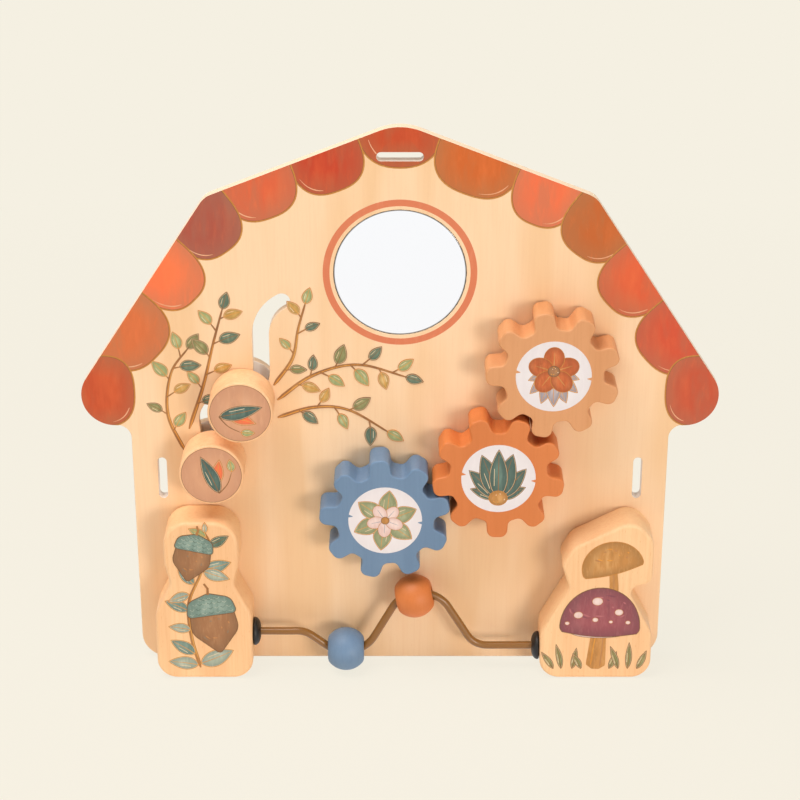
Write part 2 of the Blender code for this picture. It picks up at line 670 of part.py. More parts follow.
def add_peg(name, diameter, front, back, finish, pivot):
    """Add a wooden peg along Y, with a pilot hole in its back end for the fixing screw."""
    mesh = turned(name, rounded_disc_profile(diameter, front, back, SEAT_GAP, steps=1), SMALL_ROUND_STEPS)
    peg = add_piece(name, mesh, finish, pivot.location, pivot)
    cutters = cutter_collection(f"{name} cutters")
    pilot_floor = back - FIXING_SCREW_LENGTH - SEAT_GAP
    pilot = hole_mesh(f"{name} pilot", FIXING_SCREW_SHANK + 2 * SEAT_GAP, pilot_floor, back + CUT_OVERSHOOT)
    add_cutter(cutters, pilot, pivot.location)
    cut_away(peg, cutters)


def add_retainer(name, front, pivot, finishes):
    """Add the washer that holds a peg behind the panel, and its screw."""
    profile = ring_profile(RETAINER_DIAMETER, FIXING_SCREW_SHANK + 2 * SEAT_GAP, RETAINER_THICKNESS)
    washer = turned(f"{name}_washer", profile, SMALL_ROUND_STEPS, ring=True)
    add_piece(f"{name}_washer", washer, finishes.steel, pivot.location + Vector((0, front, 0)), pivot)
    screw = screw_mesh(
        f"{name}_screw", FIXING_SCREW_SHANK, FIXING_SCREW_LENGTH, FIXING_SCREW_HEAD, FIXING_SCREW_HEAD_HEIGHT
    )
    seat = front + RETAINER_THICKNESS + SEAT_GAP
    add_piece(f"{name}_screw", screw, finishes.steel, pivot.location + Vector((0, seat, 0)), pivot)


def build_button(name, place, finishes):
    """Build one sliding button: front disc, spindle through the slot, keeper, washer and screw."""
    pivot = add_pivot(f"{name} button pivot", on_face(place.x, place.y))
    front = -SEAT_GAP - BUTTON_THICKNESS
    profile = rounded_disc_profile(BUTTON_DIAMETER, front, -SEAT_GAP, BUTTON_EDGE_ROUND)
    disc = add_piece(f"{name}_button", turned(f"{name}_button", profile), finishes.beech, pivot.location, pivot)
    spindle_diameter = WINDING_SLOT_WIDTH - 2 * SPINDLE_PLAY
    bore_floor = -SEAT_GAP - SPINDLE_DEPTH_IN_BUTTON - SEAT_GAP
    cutters = cutter_collection(f"{name} button cutters")
    bore = hole_mesh(f"{name} button bore", spindle_diameter + 2 * SEAT_GAP, bore_floor, CUT_OVERSHOOT)
    add_cutter(cutters, bore, pivot.location)
    cut_away(disc, cutters)
    keeper_back = KEEPER_FRONT + KEEPER_THICKNESS
    spindle_back = keeper_back + KEEPER_BACK_PLAY - SEAT_GAP
    add_peg(f"{name}_button_spindle", spindle_diameter, bore_floor + SEAT_GAP, spindle_back, finishes.beech, pivot)
    keeper = rounded_disc_profile(
        KEEPER_DIAMETER,
        KEEPER_FRONT,
        keeper_back,
        KEEPER_EDGE_ROUND,
        spindle_diameter + 2 * AXLE_RUNNING_GAP,
    )
    keeper_mesh = turned(f"{name}_button_keeper", keeper, ring=True)
    add_piece(f"{name}_button_keeper", keeper_mesh, finishes.plywood, pivot.location, pivot)
    add_retainer(f"{name}_button", spindle_back + SEAT_GAP, pivot, finishes)


def build_block(side, corners, middle, wire_height, grommet_side, finishes):
    """Build one play block with its wire bore and its two screws from behind."""
    back = -SEAT_GAP
    front = back - BLOCK_DEPTH
    mesh = plate(f"{side}_block", rounded_outline(corners), front, back, BLOCK_EDGE_ROUND, 2)
    block = add_piece(f"{side}_block", mesh, finishes.beech, on_face(middle, 0))
    cutters = cutter_collection(f"{side} block cutters")
    wire_bore = hole_mesh(
        f"{side} wire bore",
        GROMMET_STEM_DIAMETER + 2 * SEAT_GAP,
        -WIRE_DEPTH_IN_BLOCK - SEAT_GAP,
        CUT_OVERSHOOT,
    )
    wire_bore.transform(Matrix.Rotation(-grommet_side.z * math.pi / 2, 4, "Z"))
    add_cutter(cutters, wire_bore, on_face(grommet_side.x, wire_height, -WIRE_STANDOFF))
    screw_seat = counterbore_floor()
    pilot_floor = screw_seat - BLOCK_SCREW_LENGTH - SEAT_GAP
    for level, place in block_screw_places(middle):
        pilot = hole_mesh(
            f"{side} {level} pilot", BLOCK_SCREW_SHANK + 2 * SEAT_GAP, pilot_floor, CUT_OVERSHOOT
        )
        add_cutter(cutters, pilot, on_face(place.x, place.y))
        screw = screw_mesh(
            f"{side}_block_{level}_screw",
            BLOCK_SCREW_SHANK,
            BLOCK_SCREW_LENGTH,
            BLOCK_SCREW_HEAD,
            BLOCK_SCREW_HEAD_HEIGHT,
        )
        seat = on_face(place.x, place.y, screw_seat)
        add_piece(f"{side}_block_{level}_screw", screw, finishes.steel, seat)
    cut_away(block, cutters)


def build_grommet(side, x, facing, wire_height, finishes):
    """Build the domed grommet that lines the wire's way into a block."""
    bore = WIRE_DIAMETER / 2 + SEAT_GAP
    stem = GROMMET_STEM_DIAMETER / 2
    rim = GROMMET_DIAMETER / 2
    dome_steps = 4
    dome = []
    for step in range(dome_steps + 1):
        angle = math.pi / 2 * step / dome_steps
        radius = bore + (rim - bore) * math.cos(angle)
        dome.append((radius, SEAT_GAP + GROMMET_DOME_HEIGHT * (0.15 + 0.85 * math.sin(angle))))
    profile = [(bore, -GROMMET_STEM_LENGTH), (stem, -GROMMET_STEM_LENGTH), (stem, SEAT_GAP), (rim, SEAT_GAP)] + dome
    mesh = turned(f"{side}_grommet", profile, SMALL_ROUND_STEPS, ring=True)
    mesh.transform(Matrix.Rotation(-facing * math.pi / 2, 4, "Z"))
    add_piece(f"{side}_grommet", mesh, finishes.grommet, on_face(x, wire_height, -WIRE_STANDOFF))


def build_wire(finishes):
    """Build the bead wire as one round bar along its straight runs and bends."""
    corners = wire_corners()
    path = [corners[0]]
    for bend in wire_bends():
        path += bend.points(FINE_ARC_STEP)
    path.append(corners[-1])
    curve = bpy.data.curves.new("bead_wire", "CURVE")
    curve.dimensions = "3D"
    curve.bevel_depth = WIRE_DIAMETER / 2
    curve.bevel_resolution = 2
    curve.use_fill_caps = True
    spline = curve.splines.new("POLY")
    spline.points.add(len(path) - 1)
    for point, spot in zip(spline.points, path):
        point.co = (spot.x, 0, spot.y, 1)
    add_piece("bead_wire", curve, finishes.wire, on_face(0, 0, -WIRE_STANDOFF))


def build_bead(name, bend, tilt, finish):
    """Build a bead on one of the wire's bends, a ball cut flat at both ends and bored through.

    The bore clears the bent wire inside it. The object's origin is the bend's centre, about which
    the bead travels, and tilt turns it there from the bend's lowest or highest point.
    """
    half = BEAD_LENGTH / 2
    sag = bend.radius - math.sqrt(bend.radius**2 - half**2)
    slope = math.asin(half / bend.radius)
    bore = sag / 2 + WIRE_DIAMETER / 2 / math.cos(slope) + BEAD_PLAY
    ball = BEAD_DIAMETER / 2
    flat = math.asin(half / ball)
    steps = 8
    arc = [flat * (2 * step / steps - 1) for step in range(steps + 1)]
    profile = [(bore, -half)] + [(ball * math.cos(a), ball * math.sin(a)) for a in arc] + [(bore, half)]
    mesh = turned(name, profile, BEAD_STEPS, ring=True)
    mesh.transform(Matrix.Rotation(math.pi / 2, 4, "Z"))
    below = -1 if bend.turn > 0 else 1
    mesh.transform(Matrix.Translation((0, 0, below * (bend.radius - sag / 2))))
    mesh.transform(Matrix.Rotation(-tilt, 4, "Y"))
    add_piece(name, mesh, finish, on_face(bend.centre.x, bend.centre.y, -WIRE_STANDOFF))


def main():
    """Build the whole board."""
    clear_scene()
    finishes = Finishes()
    route, upper_place, lower_place = seated_slot_route()
    wheels = wheel_places()
    left_corners, left_middle = left_block_corners()
    right_corners, right_middle = right_block_corners()
    build_board(finishes, route, wheels, {"left": left_middle, "right": right_middle})
    build_mirror(finishes)
    paints = {"orange": finishes.orange, "blue": finishes.blue, "tan": finishes.tan}
    for name, place, phase in wheels:
        build_wheel(name, place, phase, paints[name], finishes)
    build_button("upper", upper_place, finishes)
    build_button("lower", lower_place, finishes)
    left_side = left_middle + LEFT_BLOCK_FOOT_WIDTH / 2
    right_side = right_middle - RIGHT_BLOCK_FOOT_WIDTH / 2
    build_block("left", left_corners, left_middle, WIRE_LEFT_HEIGHT, Vector((left_side, 0, 1)), finishes)
    build_block("right", right_corners, right_middle, WIRE_RIGHT_HEIGHT, Vector((right_side, 0, -1)), finishes)
    build_grommet("left", left_side, 1, WIRE_LEFT_HEIGHT, finishes)
    build_grommet("right", right_side, -1, WIRE_RIGHT_HEIGHT, finishes)
    build_wire(finishes)
    _, trough, crest, _ = wire_bends()
    build_bead("blue_bead", trough, 0.0, finishes.blue)
    build_bead("orange_bead", crest, CREST_BEAD_ANGLE, finishes.orange)


main()
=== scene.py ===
"""Dressed view of a toddler's wooden activity board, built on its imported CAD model.

Everything is in metres in the CAD's frame: +X to the right seen from the front, +Z up, and the
play side faces -Y. Sizes that are easier to read in millimetres are multiplied by MM.
"""

from __future__ import annotations

import json
import logging
import math
from dataclasses import dataclass, field
from enum import Enum
from typing import Iterable, Sequence

import bmesh
import bpy
from mathutils import Matrix, Vector, noise
from mathutils.geometry import intersect_point_line

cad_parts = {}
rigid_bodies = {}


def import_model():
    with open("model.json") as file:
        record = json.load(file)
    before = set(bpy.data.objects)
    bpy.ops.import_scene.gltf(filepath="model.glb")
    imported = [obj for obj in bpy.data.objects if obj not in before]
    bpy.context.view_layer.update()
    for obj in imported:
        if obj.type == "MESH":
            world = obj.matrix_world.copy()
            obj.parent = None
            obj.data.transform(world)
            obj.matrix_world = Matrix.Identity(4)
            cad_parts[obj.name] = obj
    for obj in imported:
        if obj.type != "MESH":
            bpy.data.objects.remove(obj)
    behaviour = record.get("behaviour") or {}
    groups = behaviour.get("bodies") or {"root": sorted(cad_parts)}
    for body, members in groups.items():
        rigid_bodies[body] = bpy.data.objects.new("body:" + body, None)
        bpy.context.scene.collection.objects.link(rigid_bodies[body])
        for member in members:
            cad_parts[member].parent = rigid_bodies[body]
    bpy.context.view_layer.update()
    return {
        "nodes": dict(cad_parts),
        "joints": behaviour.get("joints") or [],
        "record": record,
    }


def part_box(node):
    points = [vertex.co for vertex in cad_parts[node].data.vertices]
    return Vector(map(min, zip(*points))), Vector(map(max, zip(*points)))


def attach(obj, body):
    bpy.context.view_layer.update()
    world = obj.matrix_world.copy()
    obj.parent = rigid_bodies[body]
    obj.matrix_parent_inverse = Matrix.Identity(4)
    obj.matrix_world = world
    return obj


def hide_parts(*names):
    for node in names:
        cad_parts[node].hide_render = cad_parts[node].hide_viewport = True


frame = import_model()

LOG = logging.getLogger("activity board")

Socket = bpy.types.NodeSocket
Mesh = bpy.types.Mesh
Corners = list[tuple[float, float, float]]

MM = 0.001
SEAT_GAP = 0.3 * MM
ARC_STEP = math.radians(5)
SHARP_ANGLE = math.radians(32)
TURN_STEPS = 64
OVAL_STEPS = 56
LEAF_STEPS = 12

# The panel's two faces, and where the joints stand, come from the frame
FACE_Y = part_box("board_panel")[0].y
BACK_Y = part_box("board_panel")[1].y
JOINTS = {joint["name"]: joint for joint in frame["joints"]}
BODIES = frame["record"]["behaviour"]["bodies"]
SLOTS = {part["node"]: part["material_slot"] for part in frame["record"]["subparts"]}


# Shapes in the panel's plane


def polar(radius: float, angle: float) -> Vector:
    """Return the point of the X-Z plane at this radius and angle from the origin."""
    return Vector((radius * math.cos(angle), radius * math.sin(angle)))


def mm(x: float, z: float) -> Vector:
    """Return a point of the X-Z plane given in millimetres."""
    return Vector((x, z)) * MM


def at_joint(name: str) -> Vector:
    """Return where a joint's axis meets the X-Z plane."""
    x, _, z = JOINTS[name]["pos_m"]
    return Vector((x, z))


def box_centre(node: str) -> Vector:
    """Return the middle of a CAD node's box in the X-Z plane."""
    low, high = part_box(node)
    return Vector(((low.x + high.x) / 2, (low.z + high.z) / 2))


def bend(before: Vector, corner: Vector, after: Vector, radius: float) -> list[Vector]:
    """Round one corner of a path.

    Args:
        before: The point the path comes from.
        corner: The corner to round.
        after: The point the path goes to.
        radius: The radius of the rounding arc.

    Returns:
        The points of the arc, from its start to its end.
    """
    arriving = (corner - before).normalized()
    leaving = (after - corner).normalized()
    turn = math.atan2(arriving.cross(leaving), arriving.dot(leaving))
    side = math.copysign(1.0, turn)
    start = corner - arriving * radius * math.tan(abs(turn) / 2)
    centre = start + Vector((-arriving.y, arriving.x)) * radius * side
    first = math.atan2(start.y - centre.y, start.x - centre.x)
    steps = max(2, math.ceil(abs(turn) / ARC_STEP))
    return [centre + polar(radius, first + turn * step / steps) for step in range(steps + 1)]


def rounded(corners: Sequence[tuple[float, float, float]]) -> list[Vector]:
    """Return a closed outline whose corners are rounded, each by its own radius.

    Args:
        corners: The (x, z, radius) corners in order.

    Returns:
        The outline's points.
    """
    outline: list[Vector] = []
    for index, (x, z, radius) in enumerate(corners):
        before = Vector(corners[index - 1][:2])
        after = Vector(corners[(index + 1) % len(corners)][:2])
        outline += bend(before, Vector((x, z)), after, radius)
    return outline


def mirrored(right_half: Corners) -> Corners:
    """Return the corners of a symmetric outline from its right half, bottom to top."""
    return right_half + [(-x, z, radius) for x, z, radius in reversed(right_half) if x > 0]


def oval(centre: Vector, width: float, height: float, turn: float = 0.0, power: float = 2.0) -> list[Vector]:
    """Return an oval outline.

    Args:
        centre: The oval's middle.
        width: Its full size across, before the turn.
        height: Its full size upwards, before the turn.
        turn: How far it is turned, counter-clockwise.
        power: 2 for an ellipse, and more for a squarer oval.

    Returns:
        The outline's points.
    """
    turned = Matrix.Rotation(turn, 2)
    outline = []
    for step in range(OVAL_STEPS):
        angle = 2 * math.pi * step / OVAL_STEPS
        across, up = math.cos(angle), math.sin(angle)
        x = math.copysign(abs(across) ** (2 / power) * width / 2, across)
        z = math.copysign(abs(up) ** (2 / power) * height / 2, up)
        outline.append(centre + turned @ Vector((x, z)))
    return outline


def leaf_outline(base: Vector, direction: float, length: float, width: float, curl: float = 0.0) -> list[Vector]:
    """Return a pointed leaf's outline.

    Args:
        base: Where the leaf meets its stalk.
        direction: The way the leaf points.
        length: From base to tip.
        width: The full width at the widest place.
        curl: How far the tip bends aside, as a share of the length.

    Returns:
        The outline, up one side and down the other.
    """
    turned = Matrix.Rotation(direction, 2)

    def side(sign: int, share: float) -> Vector:
        """Return the point of one side at a share of the length."""
        half = width / 2 * math.sin(math.pi * share**0.8) ** 0.85
        return base + turned @ Vector((share * length, sign * half + curl * length * share**2))

    up = [side(1, step / LEAF_STEPS) for step in range(LEAF_STEPS + 1)]
    down = [side(-1, step / LEAF_STEPS) for step in range(LEAF_STEPS - 1, 0, -1)]
    return up + down


def capsule(length: float, width: float, centre: Vector, upright: bool = False) -> list[Vector]:
    """Return the outline of a slot with round ends.

    Args:
        length: Its full length.
        width: Its width.
        centre: Its middle.
        upright: Whether its length runs up and down.

    Returns:
        The outline's points.
    """
    reach = (length - width) / 2
    steps = 16
    outline = []
    for side, first in ((1, -math.pi / 2), (-1, math.pi / 2)):
        for step in range(steps + 1):
            point = polar(width / 2, first + math.pi * step / steps) + Vector((side * reach, 0))
            outline.append(centre + (Vector((-point.y, point.x)) if upright else point))
    return outline


def smooth_path(points: Sequence[Vector], steps: int = 12) -> list[Vector]:
    """Return a smooth line through the points, as a Catmull-Rom curve.

    Args:
        points: What the line passes through.
        steps: The steps from one point to the next.

    Returns:
        The line's points.
    """
    ends = [2 * points[0] - points[1], *points, 2 * points[-1] - points[-2]]
    path = []
    for a, b, c, d in zip(ends, ends[1:], ends[2:], ends[3:]):
        for step in range(steps):
            t = step / steps
            path.append(
                0.5 * (2 * b + (c - a) * t + (2 * a - 5 * b + 4 * c - d) * t**2 + (3 * b - a - 3 * c + d) * t**3)
            )
    path.append(points[-1].copy())
    return path


def ribbon(path: Sequence[Vector], first: float, last: float) -> list[Vector]:
    """Return the outline of a brush stroke along a path.

    Args:
        path: The stroke's middle line.
        first: Its width where the path starts.
        last: Its width where the path ends.

    Returns:
        The outline's points.
    """
    left, right = [], []
    for index, point in enumerate(path):
        ahead = path[min(index + 1, len(path) - 1)] - path[max(index - 1, 0)]
        normal = Vector((-ahead.y, ahead.x)).normalized()
        soft = min(1.0, 0.35 + 0.3 * index, 0.35 + 0.3 * (len(path) - 1 - index)) if len(path) > 5 else 1.0
        half = soft * (first + (last - first) * index / (len(path) - 1)) / 2
        left.append(point + normal * half)
        right.append(point - normal * half)
    return left + right[::-1]


# Meshes


def link(name: str, data: bpy.types.ID) -> bpy.types.Object:
    """Put a new object in the scene.

    Args:
        name: The object's name.
        data: Its mesh, lamp or camera.

    Returns:
        The object, at the origin.
    """
    item = bpy.data.objects.new(name, data)
    bpy.context.scene.collection.objects.link(item)
    return item


def as_mesh(shape: bmesh.types.BMesh, name: str) -> Mesh:
    """Turn a bmesh into a mesh and free it.

    Args:
        shape: The bmesh.
        name: The mesh's name.

    Returns:
        The mesh, with the bmesh's faces.
    """
    mesh = bpy.data.meshes.new(name)
    shape.to_mesh(mesh)
    shape.free()
    return mesh


def close_up(shape: bmesh.types.BMesh, name: str) -> Mesh:
    """Turn a bmesh into a mesh with outward faces and smooth round sides.

    Args:
        shape: The bmesh, which is freed.
        name: The mesh's name.

    Returns:
        The mesh.
    """
    bmesh.ops.recalc_face_normals(shape, faces=shape.faces)
    mesh = as_mesh(shape, name)
    mesh.shade_smooth()
    mesh.set_sharp_from_angle(angle=SHARP_ANGLE)
    return mesh


def plate(
    name: str, outline: Sequence[Vector], front: float, back: float, edge: float = 0.0, segments: int = 3
) -> Mesh:
    """Make a plate cut to an outline.

    Args:
        name: The mesh's name.
        outline: The outline in the X-Z plane.
        front: The Y of its front face.
        back: The Y of its back face.
        edge: The radius of its rims.
        segments: The steps of that rounding.

    Returns:
        The closed mesh.
    """
    shape = bmesh.new()
    face = shape.faces.new([shape.verts.new((point.x, front, point.y)) for point in outline])
    grown = bmesh.ops.extrude_face_region(shape, geom=[face])["geom"]
    far = [item for item in grown if isinstance(item, bmesh.types.BMVert)]
    bmesh.ops.translate(shape, verts=far, vec=(0, back - front, 0))
    if edge:
        rims = [line for line in shape.edges if abs(line.verts[0].co.y - line.verts[1].co.y) < SEAT_GAP]
        bmesh.ops.bevel(shape, geom=rims, offset=edge, segments=segments, affect="EDGES", profile=0.5, material=-1)
    return close_up(shape, name)


def turned(name: str, profile: Sequence[tuple[float, float]], ring: bool = False, steps: int = TURN_STEPS) -> Mesh:
    """Make a piece turned about the Y axis.

    Args:
        name: The mesh's name.
        profile: (radius, y) points along its section.
        ring: Whether the section closes on itself, round a hole.
        steps: The steps of a full turn.

    Returns:
        The closed mesh, on the Y axis.
    """
    shape = bmesh.new()
    verts = [shape.verts.new((radius, y, 0)) for radius, y in profile]
    pairs = list(zip(verts, verts[1:])) + ([(verts[-1], verts[0])] if ring else [])
    edges = [shape.edges.new(pair) for pair in pairs]
    bmesh.ops.spin(
        shape, geom=verts + edges, cent=(0, 0, 0), axis=(0, 1, 0), angle=2 * math.pi, steps=steps, use_merge=True
    )
    bmesh.ops.remove_doubles(shape, verts=shape.verts, dist=SEAT_GAP / 100)
    return close_up(shape, name)


def disc_profile(
    diameter: float, front: float, back: float, edge: float, bore: float = 0.0, steps: int = 5
) -> list[tuple[float, float]]:
    """Return the section of a disc with rounded rims.

    Args:
        diameter: The disc's full width.
        front: The Y of its front face.
        back: The Y of its back face.
        edge: The radius of its rims.
        bore: The hole's diameter, or 0 for none.
        steps: The steps of a rim's rounding.

    Returns:
        The section's (radius, y) points, from front to back.
    """
    inner = diameter / 2 - edge
    quarter = [math.pi / 2 * step / steps for step in range(steps + 1)]
    front_rim = [(inner + edge * math.sin(a), front + edge * (1 - math.cos(a))) for a in quarter]
    back_rim = [(inner + edge * math.cos(a), back - edge * (1 - math.sin(a))) for a in quarter]
    return [(bore / 2, front), *front_rim, *back_rim, (bore / 2, back)]


def cut(mesh: Mesh, cutters: Iterable[Mesh], soften: float = 0.0) -> Mesh:
    """Cut meshes out of a mesh.

    Args:
        mesh: What is cut.
        cutters: The closed meshes to take away.
        soften: The radius that eases the cut's rims, or 0 to leave them sharp.

    Returns:
        The cut mesh, under the same name.
    """
    work = link("work", mesh)
    tools = bpy.data.collections.new("tools")
    for cutter in cutters:
        tools.objects.link(bpy.data.objects.new("tool", cutter))
    boolean = work.modifiers.new("cut", "BOOLEAN")
    boolean.operation = "DIFFERENCE"
    boolean.solver = "EXACT"
    boolean.operand_type = "COLLECTION"
    boolean.collection = tools
    if soften:
        eased = work.modifiers.new("ease", "BEVEL")
        eased.width = soften
        eased.segments = 2
        eased.limit_method = "ANGLE"
        eased.angle_limit = math.radians(50)
    name = mesh.name
    bpy.context.view_layer.update()
    result = bpy.data.meshes.new_from_object(work.evaluated_get(bpy.context.evaluated_depsgraph_get()))
    bpy.data.objects.remove(work)
    for tool in list(tools.objects):
        bpy.data.objects.remove(tool)
    bpy.data.collections.remove(tools)
    mesh.name = "spent"
    result.name = name
    result.shade_smooth()
    result.set_sharp_from_angle(angle=SHARP_ANGLE)
    return result


def show(
    mesh: Mesh, body: str, slot: str, materials: Iterable[bpy.types.Material], *nodes: str
) -> bpy.types.Object:
    """Put a finished mesh in the scene.

    Args:
        mesh: The mesh, in its place.
        body: The CAD body it rides on.
        slot: The record's slot of its finish; not used.
        materials: Its materials, by index.
        nodes: The CAD nodes it stands for.

    Returns:
        The new object, named as its mesh.
    """
    piece = link(mesh.name, mesh)
    for material in materials:
        mesh.materials.append(material)
    # Large flat faces stay flat in the light, and only their rims turn away
    even = piece.modifiers.new("flat faces", "WEIGHTED_NORMAL")
    even.keep_sharp = True
    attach(piece, body)
    if nodes:
        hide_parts(*nodes)
    LOG.info("%s: %d faces on %s", piece.name, len(mesh.polygons), body)
    return piece


def body_with(node: str) -> str:
    """Return the name of the body that holds a CAD node."""
    return next(name for name, nodes in BODIES.items() if node in nodes)


def stand_in(mesh: Mesh, node: str, finish: Finish, at: Vector | None = None) -> bpy.types.Object:
    """Show a mesh in place of one CAD node.

    Args:
        mesh: The mesh, which takes the node's name.
        node: The CAD node that it stands for.
        finish: Its finish.
        at: The point in the X-Z plane that it is moved to first.

    Returns:
        The new object.
    """
    if at:
        mesh.transform(Matrix.Translation((at.x, 0, at.y)))
    mesh.name = f"{node}_finished"
    return show(mesh, body_with(node), SLOTS[node], [finish.material()], node)


# Finishes


def linear(colour: str) -> tuple[float, float, float, float]:
    """Turn an sRGB hex colour to linear RGBA.

    Args:
        colour: The colour, as in #a0b1c2.

    Returns:
        Its linear red, green and blue, and an alpha of 1.
    """
    parts = [part / 255 for part in bytes.fromhex(colour[1:])]
    r, g, b = (part / 12.92 if part <= 0.04045 else ((part + 0.055) / 1.055) ** 2.4 for part in parts)
    return r, g, b, 1.0


@dataclass(frozen=True)
class Nodes:
    """A node tree, with short ways to add the nodes that the finishes and the studio use."""

    tree: bpy.types.NodeTree

    def add(self, kind: str, inputs: dict | None = None, **settings) -> bpy.types.Node:
        """Add a shader node.

        Args:
            kind: The node's type, without Blender's ShaderNode prefix.
            inputs: A value or an output socket for each named or numbered input.
            settings: The node's own properties.

        Returns:
            The new node.
        """
        node = self.tree.nodes.new("ShaderNode" + kind)
        for key, value in settings.items():
            setattr(node, key, value)
        for key, value in (inputs or {}).items():
            if isinstance(value, Socket):
                self.tree.links.new(value, node.inputs[key])
            else:
                node.inputs[key].default_value = value
        return node

    def place(self, output: str = "Object") -> Socket:
        """Return the shaded point's object coordinates, or another output of that node."""
        return self.add("TexCoord").outputs[output]

    def along_y(self, vector: Socket) -> Socket:
        """Return a vector's Y."""
        return self.add("SeparateXYZ", {0: vector}).outputs["Y"]

    def stretch(self, vector: Socket, upright: float, slant: float = 0.0) -> Socket:
        """Return coordinates scaled along Z, so that what they carry runs long that way."""
        scaled = {"Vector": vector, "Rotation": (0, slant, 0), "Scale": (1, 1, upright)}
        return self.add("Mapping", scaled).outputs[0]

    def noise(self, vector: Socket, size: float, detail: float, **more: float) -> Socket:
        """Return a noise of this feature size."""
        return self.add("TexNoise", {"Vector": vector, "Scale": 1 / size, "Detail": detail, **more}).outputs["Fac"]

    def math(self, operation: str, *values: Socket | float) -> Socket:
        """Return the result of an operation on values."""
        return self.add("Math", dict(enumerate(values)), operation=operation).outputs[0]

    def remap(
        self,
        value: Socket,
        start: float = 0.0,
        end: float = 1.0,
        low: float = 0.0,
        high: float = 1.0,
        clamp: bool = True,
    ) -> Socket:
        """Return a value moved from the range start to end to the range low to high."""
        return self.add("MapRange", {"Value": value, 1: start, 2: end, 3: low, 4: high}, clamp=clamp).outputs[0]

    def blend(self, share: Socket, tone: Socket | str, other: Socket | str) -> Socket:
        """Return a tone mixed by a share towards another one, each a socket or an sRGB hex colour."""
        first, second = (linear(colour) if isinstance(colour, str) else colour for colour in (tone, other))
        return self.add("Mix", {0: share, 6: first, 7: second}, data_type="RGBA").outputs[2]


@dataclass(frozen=True)
class Finish:
    """A finish, made into a material once and then shared."""

    name: str
    roughness: float = 0.5

    def material(self) -> bpy.types.Material:
        """Make the finish's material on first use.

        Returns:
            The material, the same one each time.
        """
        made = bpy.data.materials.get(self.name)
        if made is None:
            made = bpy.data.materials.new(self.name)
            made.use_nodes = True
            self.dress(Nodes(made.node_tree), "Roughness", self.roughness)
            self.paint(Nodes(made.node_tree))
        return made

    def dress(self, nodes: Nodes, name: str, value: Socket | float) -> None:
        """Give one input of the finish's shader a value or a socket.

        Args:
            nodes: The material's nodes.
            name: The shader's input.
            value: What the input gets.
        """
        given = nodes.tree.nodes["Principled BSDF"].inputs[name]
        if isinstance(value, Socket):
            nodes.tree.links.new(value, given)
        else:
            given.default_value = value

    def emboss(self, nodes: Nodes, height: Socket, strength: float, depth: float) -> None:
        """Raise the surface by a height map."""
        bump = nodes.add("Bump", {"Strength": strength, "Distance": depth, "Height": height})
        self.dress(nodes, "Normal", bump.outputs[0])

    def paint(self, nodes: Nodes) -> None:
        """Add the finish's own nodes."""
        raise NotImplementedError


@dataclass(frozen=True)
class Wood(Finish):
    """Sanded wood with its grain upright: broad bands, fine fibres and short darker flecks."""

    tone: str = "#f3cb98"
    band: str = "#eabb84"
    fibre: str = "#dca56c"
    band_mm: float = 26
    fibre_mm: float = 1.5
    fibre_length_mm: float = 45
    fleck_mm: float = 0.8
    fibre_share: float = 0.5
    fleck: float = 0.35
    coat: float = 0.0

    def paint(self, nodes: Nodes) -> None:
        """Add bands, fibres, flecks and a fine bump.

        Args:
            nodes: The material's nodes.
        """
        place = nodes.place()
        slender = nodes.stretch(place, self.fibre_mm / self.fibre_length_mm)
        bands = nodes.noise(nodes.stretch(place, 0.16), self.band_mm * MM, 2.0)
        fibres = nodes.noise(slender, self.fibre_mm * MM, 4.0, Roughness=0.62)
        flecks = nodes.noise(nodes.stretch(place, 0.22), self.fleck_mm * MM, 1.0)
        colour = nodes.blend(nodes.remap(bands, 0.4, 0.62), self.tone, self.band)
        colour = nodes.blend(nodes.remap(fibres, 0.46, 0.8, high=self.fibre_share), colour, self.fibre)
        colour = nodes.blend(nodes.remap(flecks, 0.68, 0.76, high=self.fleck), colour, self.fibre)
        self.dress(nodes, "Base Color", self.edged(nodes, colour))
        self.emboss(nodes, fibres, 0.25, 0.06 * MM)
        self.dress(nodes, "Roughness", nodes.remap(fibres, low=self.roughness - 0.06, high=self.roughness + 0.1))
        self.dress(nodes, "Coat Weight", self.coat)
        self.dress(nodes, "Coat Roughness", 0.35)

    def edged(self, nodes: Nodes, colour: Socket) -> Socket:
        """Return the colour with what shows at a cut edge, which for solid wood is nothing more."""
        return colour


@dataclass(frozen=True)
class Plywood(Wood):
    """Birch plywood: veneer faces, and the plies' stripes on its edges."""

    front: float = 0.0
    back: float = 0.008
    plies: int = 5

    def edged(self, nodes: Nodes, colour: Socket) -> Socket:
        """Show alternate plies wherever the surface doesn't face forwards or back.

        Args:
            nodes: The material's nodes.
            colour: The wood's own colour.

        Returns:
            That colour with the plies at the cut edges.
        """
        flat = nodes.math("ABSOLUTE", nodes.along_y(nodes.place("Normal")))
        depth = nodes.along_y(nodes.place())
        ply = nodes.remap(depth, self.front, self.back, high=self.plies * math.pi, clamp=False)
        stripe = nodes.math("LESS_THAN", nodes.math("ABSOLUTE", nodes.math("SINE", ply)), 0.35)
        return nodes.blend(nodes.remap(flat, 0.8, 0.5), colour, nodes.blend(stripe, "#fbe3c4", "#e6bf92"))


